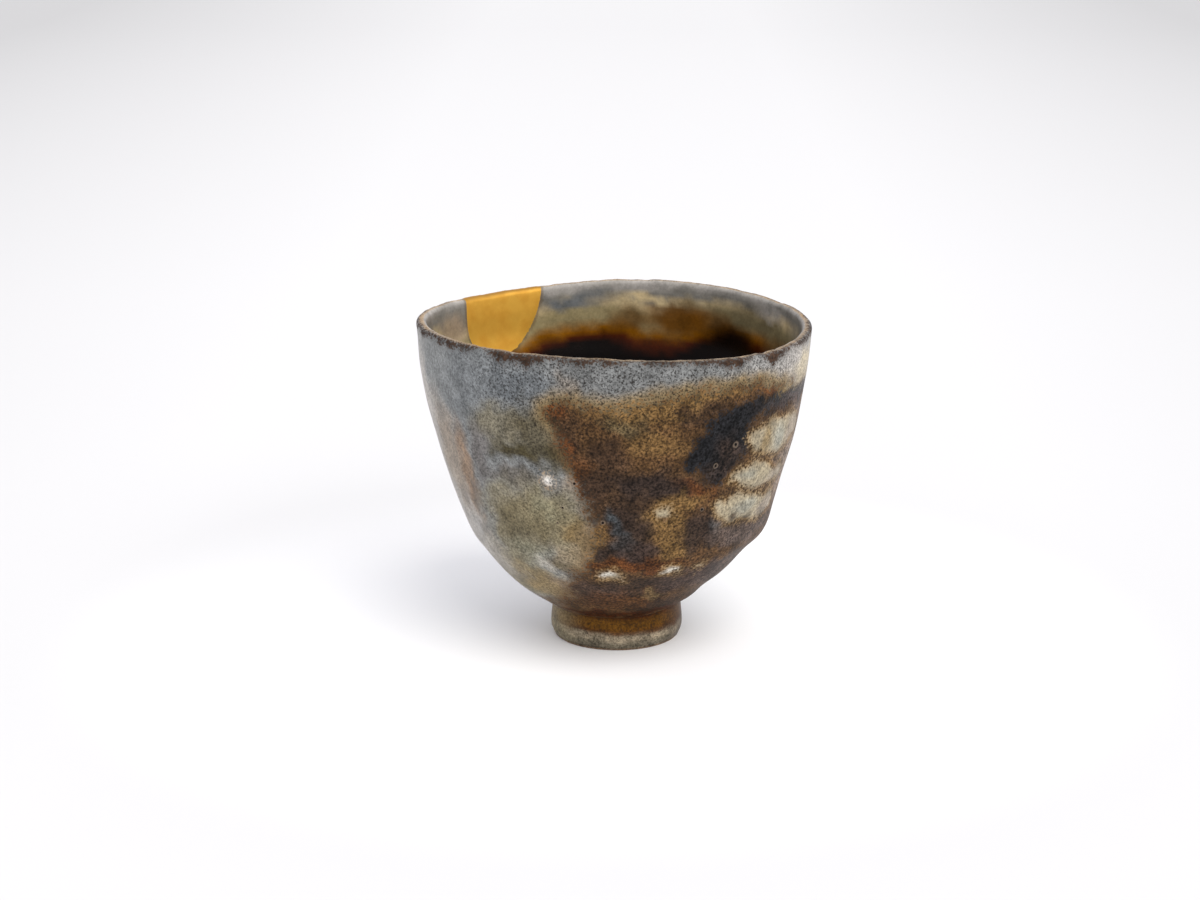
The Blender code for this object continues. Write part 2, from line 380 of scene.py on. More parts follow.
class Tone(Enum):
    """Colours of the fired glaze, clay and ash; some also hold painted sheen, highlight and shade."""

    ASH_GREY = "#848685"
    BLUE_GREY = "#777A7B"
    SLATE = "#5F6366"
    PINK_CLAY = "#918577"
    # Pinkish grey-brown: iron glaze with painted sheen, near the right edge
    PINK_BROWN = "#85766A"
    WARM_GREY = "#A7A29C"
    PALE_OLIVE = "#80765C"
    HONEY = "#7E653C"
    # Pale warm grey with painted sheen, for the upper far left edge of the wall
    PALE_WARM = "#B2ACA5"
    PALE_MOSS = "#827F68"
    OLIVE_BROWN = "#574E38"
    # Olive glaze with painted shade, above the groove on the left
    DARK_OLIVE = "#413921"
    VIOLET_GREY = "#6A6562"
    LEDGE_GREY = "#5A5551"
    BROWN_CLAY = "#8A7159"
    CREAM = "#9A8F78"
    COOL_CREAM = "#979588"
    TAN = "#86724F"
    OCHRE = "#725834"
    BROWN = "#543D26"
    RUST = "#5A3419"
    CHOCOLATE = "#312722"
    INK = "#1A1A1C"
    DARK_BROWN = "#36281F"
    PURPLE_BROWN = "#433631"
    MAUVE_GREY = "#574D49"
    # Umber for the join of bowl and foot: dark glaze with painted shade
    UMBER = "#3A1905"
    # Painted highlight along the slanted ridge low on the left
    WHITE_ASH = "#B5AEA1"
    FOOT_OCHRE = "#5D3D10"
    FOOT_GREY = "#6D6555"
    FOOT_CREAM = "#897D69"
    FOOT_RUST = "#4A2C14"
    AMBER = "#7E4F05"
    DARK_AMBER = "#3E1501"
    # Very dark glaze with painted shade, for the deep wall inside
    BITTER = "#0A0301"
    # Near black: dark pooled glaze with painted shade deep in the bowl
    POOL = "#040100"
    INSIDE_OLIVE = "#8F825F"
    INSIDE_TAN = "#B5A27C"
    INSIDE_GREY = "#716E67"
    INSIDE_UMBER = "#5B3602"
    INSIDE_CLAY = "#A08C74"
    DIM_ASH = "#6E6F6E"
    # Pale cream with painted sheen, for the upper right edge
    PALE_CREAM = "#C2B599"
    DEEP_SLATE = "#3C4144"
    # Painted highlight: the glint dot on the ledge, and light laid over the pale tone of two low scars
    GLINT = "#DAD8D2"
    LIP_CREAM = "#A58C6C"

    @property
    def light(self) -> Array:
        """Linear red, green and blue."""
        return np.array(linear(self.value)[:3])


@dataclass
class Chart:
    """Where each vertex of the cup lies on its surface; from_lip is below zero outside the crest."""

    turn: Array
    height: Array
    radius: Array
    from_lip: Array
    points: Array

    def warped(self, amount: float) -> "Chart":
        """Move turns and heights by clouds, for edges as uneven as melted glaze.

        Args:
            amount: How far places move, in millimetres.

        Returns:
            The moved chart, with the same vertices.
        """
        sideways = cloud(self.points, 4.5, 3.1) * amount + cloud(self.points, 1.8, 8.3) * amount * 0.4
        upwards = cloud(self.points, 4.0, 5.7) * amount * 0.8 + cloud(self.points, 1.8, 1.3) * amount * 0.4
        turn = self.turn + np.degrees(sideways / np.maximum(self.radius, 8.0))
        return Chart(turn, self.height + upwards, self.radius, self.from_lip, self.points)


@dataclass(frozen=True)
class Wash:
    """A soft oval of one tone laid on the wall, which fades out just beyond its half sizes."""

    turn: float
    height: float
    half_width: float
    half_height: float
    tone: Tone
    strength: float = 1.0
    slant: float = 0.0

    def cover(self, chart: Chart) -> Array:
        """Find how much of the wash lies at each vertex.

        Args:
            chart: The vertices.

        Returns:
            One share per vertex, from 0 to the wash's strength.
        """
        across = np.radians(apart(chart.turn, self.turn)) * chart.radius
        up = chart.height - self.height
        lean = math.radians(self.slant)
        along = (across * math.cos(lean) + up * math.sin(lean)) / self.half_width
        over = (up * math.cos(lean) - across * math.sin(lean)) / self.half_height
        far = np.sqrt(along * along + over * over)
        return self.strength * rise(far, 1.4, 0.4)


@dataclass(frozen=True)
class Patch:
    """A closed outline on the wall, as corners of (turn, height)."""

    corners: tuple

    def reach(self, chart: Chart, limit: float = 5.0) -> Array:
        """Distance in millimetres inside the outline, below zero outside it.

        Args:
            chart: Places of the vertices.
            limit: Distances are cut off at this much either way.

        Returns:
            One distance per vertex.
        """
        corners = closed_curve(np.array(self.corners, float))
        middle = (corners[:, 0].min() + corners[:, 0].max()) / 2
        turn = apart(chart.turn, middle)
        corners = corners - (middle, 0.0)
        result = np.full(len(turn), -limit)
        margin = limit * 2.2
        near = (
            (turn > corners[:, 0].min() - margin)
            & (turn < corners[:, 0].max() + margin)
            & (chart.height > corners[:, 1].min() - limit)
            & (chart.height < corners[:, 1].max() + limit)
        )
        x = turn[near]
        y = chart.height[near]
        stretch = np.radians(1.0) * np.maximum(chart.radius[near], 8.0)
        best = np.full(len(x), np.inf)
        inside = np.zeros(len(x), bool)
        for (ax, ay), (bx, by) in zip(corners, np.roll(corners, -1, axis=0)):
            away = off_stretch((x - ax) * stretch, y - ay, (bx - ax) * stretch, by - ay)
            best = np.minimum(best, away)
            if ay != by:
                crossing = ax + (y - ay) * (bx - ax) / (by - ay)
                inside ^= ((ay > y) != (by > y)) & (x < crossing)
        result[near] = np.clip(np.where(inside, best, -best), -limit, limit)
        return result


def union(patches: tuple, chart: Chart) -> Array:
    """Reach of several patches together."""
    return np.max([patch.reach(chart) for patch in patches], axis=0)


def ramp(bands: tuple, level: Array) -> Array:
    """Linear colours at heights, blended between the bands' own tones.

    Args:
        bands: Pairs of height and tone, from the lowest up.
        level: Heights.

    Returns:
        One colour per height.
    """
    heights = [height for height, _ in bands]
    tones = np.array([tone.light for _, tone in bands])
    return np.stack([np.interp(level, heights, tones[:, k]) for k in range(3)], 1)


def paint(base: Array, washes: tuple, chart: Chart) -> Array:
    """Lay washes over a base, in order.

    Args:
        base: Linear colours, one row per vertex.
        washes: Washes from the first laid to the last.
        chart: Places of the vertices.

    Returns:
        The painted colours.
    """
    colour = base
    for wash in washes:
        colour = blend(colour, wash.tone.light, wash.cover(chart))
    return colour


GROUND_WASHES = (
    # The first wash below, warm grey over the far left of the wall, is grey glaze with painted sheen at the
    # edge
    Wash(-80, 40, 16, 40, Tone.WARM_GREY), Wash(-62, 68, 16, 10, Tone.ASH_GREY),
    Wash(-42, 68, 14, 9, Tone.BLUE_GREY), Wash(-28, 69, 9, 5, Tone.SLATE, 0.7),
    Wash(-8, 71, 10, 5, Tone.DIM_ASH), Wash(20, 71, 20, 6, Tone.DIM_ASH),
    Wash(-14, 68, 3, 5, Tone.PINK_CLAY, 0.45), Wash(50, 72, 12, 6, Tone.WARM_GREY, 0.4),
    # The two washes below, warm grey and pale cream at the upper right edge, are glaze colour with painted
    # sheen
    Wash(70, 70, 14, 8, Tone.WARM_GREY), Wash(76, 68, 9, 5, Tone.PALE_CREAM, 0.85),
    Wash(-46, 60, 8, 4, Tone.SLATE, 0.4), Wash(-36, 59, 9, 5, Tone.PALE_OLIVE, 0.7),
    Wash(-25, 59, 6, 6, Tone.OLIVE_BROWN, 0.85), Wash(-17, 55, 4, 6, Tone.OLIVE_BROWN, 0.8),
    # The dark olive washes over the groove at 50 mm are olive glaze with painted shade where the wall turns
    # down into it
    Wash(-21, 53.5, 5, 3.0, Tone.DARK_OLIVE, 0.7), Wash(-32, 53, 7, 2.2, Tone.DARK_OLIVE, 0.95),
    Wash(-38, 55, 3, 2.2, Tone.DARK_OLIVE, 0.6, -20), Wash(-16, 47, 3, 3, Tone.PINK_CLAY, 0.6),
    # The pale warm wash at turn -78 below is painted sheen over the grey glaze at the edge
    Wash(-66, 48, 7, 14, Tone.PINK_CLAY), Wash(-78, 62, 6, 8, Tone.PALE_WARM, 0.8),
    Wash(-56, 46, 3.0, 12, Tone.BROWN_CLAY, 0.85, -4), Wash(-53.5, 38, 1.6, 8, Tone.BROWN, 0.45, -6),
    Wash(-52, 31, 1.2, 5, Tone.BROWN, 0.35, -25), Wash(-46, 51, 3.4, 8, Tone.VIOLET_GREY, 0.8, -6),
    Wash(-43, 44, 2.6, 6, Tone.ASH_GREY, 0.5, -10), Wash(-34, 47.5, 9, 2.2, Tone.LEDGE_GREY, 0.8),
    Wash(-28, 38, 13, 9, Tone.PALE_OLIVE), Wash(-44, 34, 7, 9, Tone.PALE_OLIVE, 0.7),
    Wash(-50, 34, 3.0, 5, Tone.ASH_GREY, 0.6, -10), Wash(-38, 37, 3, 6, Tone.OLIVE_BROWN, 0.6, -20),
    Wash(-30, 33, 3, 5, Tone.OLIVE_BROWN, 0.4, -25), Wash(-24, 41, 4, 3, Tone.PALE_MOSS, 0.6),
    Wash(-36, 28, 6, 4, Tone.PALE_MOSS, 0.6), Wash(-16, 38, 4, 7, Tone.PALE_OLIVE, 0.8),
    Wash(-12, 33, 4, 6, Tone.HONEY, 0.7), Wash(-48, 20, 13, 8, Tone.PALE_OLIVE),
    Wash(-36, 20, 7, 4, Tone.TAN, 0.5), Wash(-60, 24, 8, 6, Tone.WARM_GREY, 0.6),
    Wash(-19, 28, 4, 4, Tone.TAN, 0.6), Wash(-17, 25.5, 4, 2.5, Tone.OLIVE_BROWN, 0.6),
    # Painted highlight: two pale streaks along the slanted ridge low on the left
    Wash(-26.5, 25.6, 3.2, 1.1, Tone.WHITE_ASH, 0.55, -22),
    Wash(-23.5, 22.2, 1.8, 1.0, Tone.WHITE_ASH, 0.4, -10), Wash(-35, 18, 7, 2.5, Tone.TAN, 0.5),
    # The two brown washes below are painted shade on the underside of the bowl, where it meets the foot
    Wash(-45, 10.6, 14, 1.4, Tone.BROWN, 0.6, 6), Wash(-18, 14, 8, 4, Tone.BROWN, 0.5),
    Wash(-19, 19, 5, 3, Tone.BROWN_CLAY, 0.6), Wash(-118, 58, 16, 9, Tone.BLUE_GREY, 0.6),
    Wash(-140, 34, 18, 9, Tone.WARM_GREY, 0.5), Wash(176, 46, 16, 11, Tone.PALE_OLIVE, 0.6, 12),
    Wash(146, 66, 15, 7, Tone.SLATE, 0.5), Wash(158, 24, 20, 6, Tone.OLIVE_BROWN, 0.5, -6),
    Wash(-158, 15, 22, 4, Tone.PINK_CLAY, 0.7),
)

IRON_WASHES = (
    Wash(8, 60, 18, 6, Tone.BROWN), Wash(8, 64.5, 14, 2.6, Tone.OCHRE, 0.8),
    Wash(30, 67.2, 12, 1.6, Tone.OCHRE, 0.9), Wash(12, 57, 7, 3.5, Tone.OCHRE, 0.6),
    Wash(3, 61.5, 5, 2.5, Tone.OLIVE_BROWN, 0.7, -20), Wash(-15, 58, 3.0, 6, Tone.DARK_BROWN, 0.6),
    Wash(-17.5, 63.8, 4, 1.8, Tone.RUST, 0.8), Wash(-15.5, 55.5, 1.3, 4.5, Tone.RUST, 0.7),
    Wash(-11, 48, 2.0, 6, Tone.RUST, 0.6), Wash(25, 64, 7, 2.5, Tone.DARK_BROWN, 0.7, 20),
    Wash(22, 57, 4, 4, Tone.BROWN, 0.4), Wash(40, 66.5, 8, 1.4, Tone.BROWN, 0.8),
    Wash(49, 67.4, 4, 1.0, Tone.RUST, 0.7), Wash(60, 66, 6, 1.3, Tone.TAN, 0.8),
    Wash(72, 62.6, 14, 2.2, Tone.PURPLE_BROWN, 0.9), Wash(74, 59, 6, 2.0, Tone.MAUVE_GREY, 0.7),
    Wash(10, 47.0, 12, 4.2, Tone.CHOCOLATE), Wash(-4, 54, 5, 5, Tone.DARK_BROWN, 0.8, -30),
    Wash(-6, 46, 3, 5, Tone.DARK_BROWN, 0.8), Wash(25, 46.4, 4.5, 1.9, Tone.RUST, 0.65, -22),
    Wash(27, 44.4, 5, 1.4, Tone.RUST, 0.6, -8), Wash(21, 43, 6, 1.6, Tone.OCHRE, 0.8, 10),
    Wash(5, 38, 8, 6, Tone.CHOCOLATE, 0.9), Wash(-3.5, 38.6, 2.4, 2.2, Tone.DEEP_SLATE, 0.9, -30),
    Wash(1.5, 36.6, 3.0, 1.8, Tone.DEEP_SLATE, 0.7, -30), Wash(2, 31, 7, 3, Tone.CHOCOLATE, 0.9),
    Wash(2, 33.4, 4, 1.8, Tone.DEEP_SLATE, 0.45), Wash(17, 38.5, 5, 3, Tone.OCHRE, 0.85),
    Wash(20, 32.5, 5, 4.5, Tone.OCHRE, 0.8), Wash(9, 30, 5, 3, Tone.PURPLE_BROWN, 0.7),
    Wash(-7.5, 33, 1.6, 6, Tone.OCHRE, 0.5), Wash(30, 35, 5, 6, Tone.CHOCOLATE, 0.9),
    Wash(38, 36, 4, 3, Tone.SLATE, 0.45, -30), Wash(42, 32, 6, 3, Tone.MAUVE_GREY, 0.6),
    # The pinkish grey-brown wash at turn 72 below is iron glaze with painted sheen near the right edge
    Wash(60, 31, 12, 3.5, Tone.MAUVE_GREY, 0.7), Wash(72, 48, 9, 12, Tone.PINK_BROWN, 0.95),
    Wash(98, 46, 11, 16, Tone.MAUVE_GREY, 0.7), Wash(114, 38, 8, 14, Tone.OLIVE_BROWN, 0.6),
    Wash(52, 59.5, 9, 1.2, Tone.DARK_BROWN, 0.7), Wash(52, 49.6, 12, 0.9, Tone.DARK_BROWN, 0.8),
    Wash(52, 42.4, 12, 0.9, Tone.DARK_BROWN, 0.9), Wash(48, 35.0, 6, 1.4, Tone.OCHRE, 0.8),
    Wash(8, 26.8, 15, 2.0, Tone.RUST, 0.85), Wash(36, 27, 10, 2.0, Tone.BROWN, 0.7),
    Wash(10, 20.5, 9, 3, Tone.CHOCOLATE, 0.7), Wash(38, 21, 12, 4, Tone.PURPLE_BROWN, 0.9),
    Wash(65, 20, 12, 7, Tone.MAUVE_GREY, 0.6), Wash(-10, 18, 7, 4, Tone.PURPLE_BROWN, 0.7),
    Wash(19, 16.6, 3.6, 1.0, Tone.TAN, 0.8), Wash(2, 15, 12, 3.4, Tone.FOOT_RUST, 0.6),
    # The umber band at 9.8 mm below is painted shade where the bowl meets the foot
    Wash(30, 12, 9, 3, Tone.DARK_BROWN, 0.8), Wash(0, 9.8, 24, 1.4, Tone.UMBER, 0.9),
)

SHELL_AND_GLINT_WASHES = (
    Wash(51, 54.5, 1.6, 4.0, Tone.TAN, 0.8), Wash(59, 54, 3.6, 3.2, Tone.COOL_CREAM, 0.9),
    Wash(70, 54, 4.5, 4.0, Tone.PINK_CLAY, 0.8), Wash(45, 47, 3.4, 1.4, Tone.COOL_CREAM, 0.7),
    Wash(62, 45, 4.0, 2.5, Tone.PINK_CLAY, 0.7), Wash(48, 38.5, 4.0, 1.8, Tone.COOL_CREAM, 0.8),
    Wash(63, 36.5, 4.5, 3.0, Tone.PINK_CLAY, 0.8), Wash(43, 36.6, 1.5, 0.8, Tone.DARK_BROWN, 0.8),
    Wash(51, 35.4, 2.2, 0.9, Tone.CHOCOLATE, 0.8), Wash(46, 34.6, 4.0, 0.9, Tone.OCHRE, 0.8),
    # The glint washes on the two low scars below lay painted highlight over their pale tone; the last wash is
    # the painted highlight dot on the ledge
    Wash(16, 38.6, 1.6, 0.8, Tone.RUST, 0.8), Wash(-4, 24.4, 2.6, 1.4, Tone.GLINT, 0.55),
    Wash(2, 22.8, 1.4, 0.8, Tone.PINK_CLAY, 0.6), Wash(21, 24.9, 2.4, 1.0, Tone.GLINT, 0.55),
    Wash(-21.5, 47.8, 2.4, 2.4, Tone.GLINT),
)

INK_WASHES = (
    Wash(35, 53, 4, 5, Tone.CHOCOLATE, 0.95), Wash(30, 48, 3, 2.5, Tone.CHOCOLATE, 0.6),
    Wash(66, 62.8, 15, 2.0, Tone.PURPLE_BROWN, 0.7),
)

INSIDE_WASHES = (
    Wash(112, 65.6, 9, 4.6, Tone.OLIVE_BROWN, 0.7), Wash(131, 69.9, 12, 3.3, Tone.OLIVE_BROWN, 0.85),
    Wash(122, 72.4, 6, 1.8, Tone.WARM_GREY, 0.45), Wash(98, 72.0, 8, 4.5, Tone.INSIDE_GREY, 0.6),
    Wash(154, 70.0, 9, 2.0, Tone.OLIVE_BROWN, 0.7), Wash(159, 66.6, 10, 4.2, Tone.INSIDE_UMBER, 0.95),
    Wash(147, 66.4, 7, 3.2, Tone.INSIDE_UMBER, 0.75), Wash(177, 66.4, 5, 3.0, Tone.INSIDE_UMBER, 0.7),
    # The bitter wash at turn 139 below darkens the deep wall: dark glaze with painted shade
    Wash(139, 61.6, 8, 6.2, Tone.BITTER), Wash(165, 60.6, 9, 1.8, Tone.DARK_AMBER, 0.6),
    Wash(171, 71.7, 10, 0.9, Tone.INSIDE_TAN, slant=6), Wash(197, 70.9, 8, 1.6, Tone.SLATE, 0.95),
    Wash(186, 72.6, 8, 1.5, Tone.SLATE, 0.6), Wash(200, 74.6, 9, 1.4, Tone.WARM_GREY, 0.6),
    Wash(172, 74.5, 9, 1.2, Tone.WARM_GREY, 0.5), Wash(246, 69, 7, 4, Tone.INSIDE_CLAY, 0.85),
)

# Tones of the inside from the floor up, as (height, tone); the near-black bands from 36 to 61 mm are dark
# pooled glaze with painted shade deep in the bowl
INSIDE_BANDS = (
    (0.0, Tone.DARK_AMBER), (17.0, Tone.DARK_AMBER), (36.0, Tone.BITTER), (50.0, Tone.POOL),
    (58.0, Tone.POOL), (61.0, Tone.BITTER), (62.6, Tone.DARK_AMBER), (64.4, Tone.AMBER),
    (66.6, Tone.INSIDE_OLIVE), (69.0, Tone.INSIDE_OLIVE), (70.4, Tone.INSIDE_TAN),
    (71.4, Tone.INSIDE_TAN), (72.8, Tone.INSIDE_GREY), (74.0, Tone.INSIDE_GREY), (76.4, Tone.WARM_GREY),
)

# How far down the melt ran inside, as (turn, shift of the bands), from turn 90 to 450
INSIDE_RUN = (
    (90, -1.0), (120, -0.6), (140, -1.5), (152, 0.8), (162, 2.4), (172, 1.6), (182, -0.4), (192, -0.6),
    (205, 0.8), (215, 2.8), (240, 3.6), (270, 1.0), (320, -0.5), (370, 0.6), (420, -0.8), (450, -1.0),
)

# Tones of the foot from the table up, as (height, tone); the umber at the top is dark glaze with painted
# shade under the bowl
FOOT_BANDS = (
    (0.0, Tone.CHOCOLATE), (0.8, Tone.FOOT_GREY), (1.9, Tone.FOOT_GREY), (2.6, Tone.FOOT_CREAM),
    (3.6, Tone.FOOT_CREAM), (4.4, Tone.FOOT_RUST), (5.4, Tone.FOOT_OCHRE), (7.0, Tone.FOOT_OCHRE),
    (8.2, Tone.UMBER), (9.5, Tone.UMBER),
)

IRON_PATCHES = (
    Patch((
        (-21, 63.5), (-19.5, 65.4), (-14, 66.4), (-8, 65.6), (0, 65.4), (8, 66.6), (16, 68.0), (25, 68.8),
        (35, 69.4), (45, 69.2), (52, 68.2), (62, 66.2), (75, 64.6), (98, 62), (116, 56), (123, 44), (118, 32),
        (106, 22), (90, 13), (60, 6), (20, 5), (-10, 6), (-50, 8), (-44, 10.5), (-34, 13), (-26, 17),
        (-19, 21.5), (-13, 26), (-9, 30), (-7.5, 35), (-9, 42), (-11.5, 46), (-14, 50), (-16, 55),
        (-18.5, 60),
    )),
)
INK_PATCHES = (
    Patch((
        (22, 51), (21, 54), (22.5, 57), (26, 58.5), (27, 61), (31, 63.4), (38, 64.6), (46, 65.4), (55, 65.2),
        (68, 64.4), (80, 63.4), (80, 61.4), (62, 61.6), (50, 61.2), (44, 60.6), (41, 58.8), (42.5, 56),
        (42, 53), (40, 51), (37, 48.5), (34, 45.5), (31, 46.0), (28, 49), (25, 50.5),
    )),
)
SHELL_AND_GLINT_PATCHES = (
    Patch((
        (42, 55.5), (43.5, 57.8), (47, 58.6), (50, 58.6), (55, 59.2), (62, 58.6), (72, 57.4), (77, 54),
        (70, 51), (61, 49.8), (57, 50.1), (53, 50.8), (49, 51.2), (46, 52.2), (43.5, 53.6),
    )),
    Patch((
        (37.8, 46.6), (39.5, 48.8), (44, 49.8), (48, 49.3), (53, 48.6), (58, 47.2), (68, 45.6), (68, 42.4),
        (58, 42.6), (48, 42.9), (44, 43.4), (41, 44.6),
    )),
    Patch((
        (33.0, 40.8), (35, 42.3), (38, 42.0), (42, 42.4), (48, 41.8), (55, 41.0), (66, 39.4), (69, 35.4),
        (59, 33.8), (54, 34.2), (50, 34.6), (47, 34.2), (42, 35.0), (39, 36.6), (35.6, 38.4),
    )),
    Patch(((12.8, 40.6), (14, 41.9), (17.6, 41.7), (18.0, 39.6), (17, 38.0), (15, 38.6), (13.4, 39.2))),
    Patch(((-7, 24.6), (-4, 25.9), (-0.5, 25.4), (1, 24), (3.4, 22.2), (0, 22.4), (-4, 22.8), (-6.4, 23.2))),
    Patch(((18.0, 24.8), (20, 26.0), (24, 25.8), (25.8, 24.4), (25, 23.2), (21.5, 23.7), (19, 23.9))),
    Patch(((33.0, 25.0), (35, 25.8), (37.0, 25.2), (36.4, 24.2), (34.2, 24.2))),
    # This small patch only carries the painted highlight dot on the ledge
    Patch(((-23.4, 47.9), (-22.4, 49.1), (-20.6, 49.0), (-19.6, 47.7), (-20.6, 46.6), (-22.4, 46.6))),
)


@dataclass(frozen=True)
class Crater:
    """A burst bubble in the glaze, with a paler ring around its pit."""

    turn: float
    height: float
    radius: float


# Burst bubbles as (turn, height, radius)
CRATERS = tuple(Crater(*row) for row in (
    (37.6, 55.2, 1.0), (31.2, 50.7, 0.8), (28.7, 40.2, 0.6), (-4.5, 38.2, 0.7), (-13.0, 47.5, 0.8),
    (-17.5, 41.5, 0.5), (-20.0, 37.5, 0.4),
))

# Nicks in the lip as (turn, half width, depth)
LIP_NICKS = (
    (-73.0, 1.2, 0.25), (-44.0, 0.9, 0.20), (-30.0, 1.5, 0.22), (48.0, 1.0, 0.35), (55.0, 1.4, 0.25),
    (120.0, 1.3, 0.25), (170.0, 1.0, 0.20),
)

# Places where the burnt band under the lip runs further down, as (turn, half width, extra)
RIM_DRIPS = (
    (-73.0, 1.4, 2.6), (-61.0, 1.0, 1.2), (-31.0, 5.0, 1.3), (-25.5, 1.6, 1.6), (33.0, 1.4, 1.2),
    (37.0, 1.2, 1.8), (43.5, 1.6, -2.0), (50.0, 2.2, 2.2), (140.0, 3.0, 1.5), (-150.0, 3.0, 1.2),
)


def add_node(
    tree: bpy.types.NodeTree, kind: str, inputs: dict | None = None, output: int | str = 0, **settings: object
) -> bpy.types.NodeSocket:
    """Add a node with its settings and links.

    Args:
        tree: Node tree to add to.
        kind: Type of the node, without the words that every type begins with.
        inputs: Socket names or numbers with a value for each, or the socket to link from.
        output: Name or number of the output that is handed back.
        settings: Attributes of the node.

    Returns:
        That output of the new node.
    """
    node = tree.nodes.new("ShaderNode" + kind)
    for name, value in settings.items():
        setattr(node, name, value)
    for key, value in (inputs or {}).items():
        if isinstance(value, bpy.types.NodeSocket):
            tree.links.new(value, node.inputs[key])
        else:
            node.inputs[key].default_value = value
    return node.outputs[output]


def new_material(name: str) -> tuple[bpy.types.Material, bpy.types.NodeTree, bpy.types.Node]:
    """Make an empty material.

    Args:
        name: Name of the material.

    Returns:
        The material, its node tree and its shader.
    """
    material = bpy.data.materials.new(name)
    material.use_nodes = True
    return material, material.node_tree, material.node_tree.nodes["Principled BSDF"]


@dataclass(frozen=True)
class GlazeLayer:
    """A coat with a torn, crumbling edge that lies over the ground glaze.

    Torn, crumble and edge are the reach in millimetres of its large and small unevenness and of its
    fade; grain and mottle are how far fine and coarse spots depart from its tone; relief is its
    height in millimetres.
    """

    attribute: str
    tone: str
    torn: float
    crumble: float
    edge: float
    grain: float
    mottle: float
    roughness: float
    relief: float


@dataclass(frozen=True)
class Clouds:
    """Noise shared by the coats, from -1 to 1, and the places in millimetres that it is read at."""

    place: bpy.types.NodeSocket
    grit: bpy.types.NodeSocket
    specks: bpy.types.NodeSocket
    mottle: bpy.types.NodeSocket
    tears: bpy.types.NodeSocket


@dataclass(frozen=True)
class Surface:
    """What a glaze has come to so far: colour, roughness, and relief in millimetres."""

    colour: bpy.types.NodeSocket
    rough: bpy.types.NodeSocket
    relief: bpy.types.NodeSocket


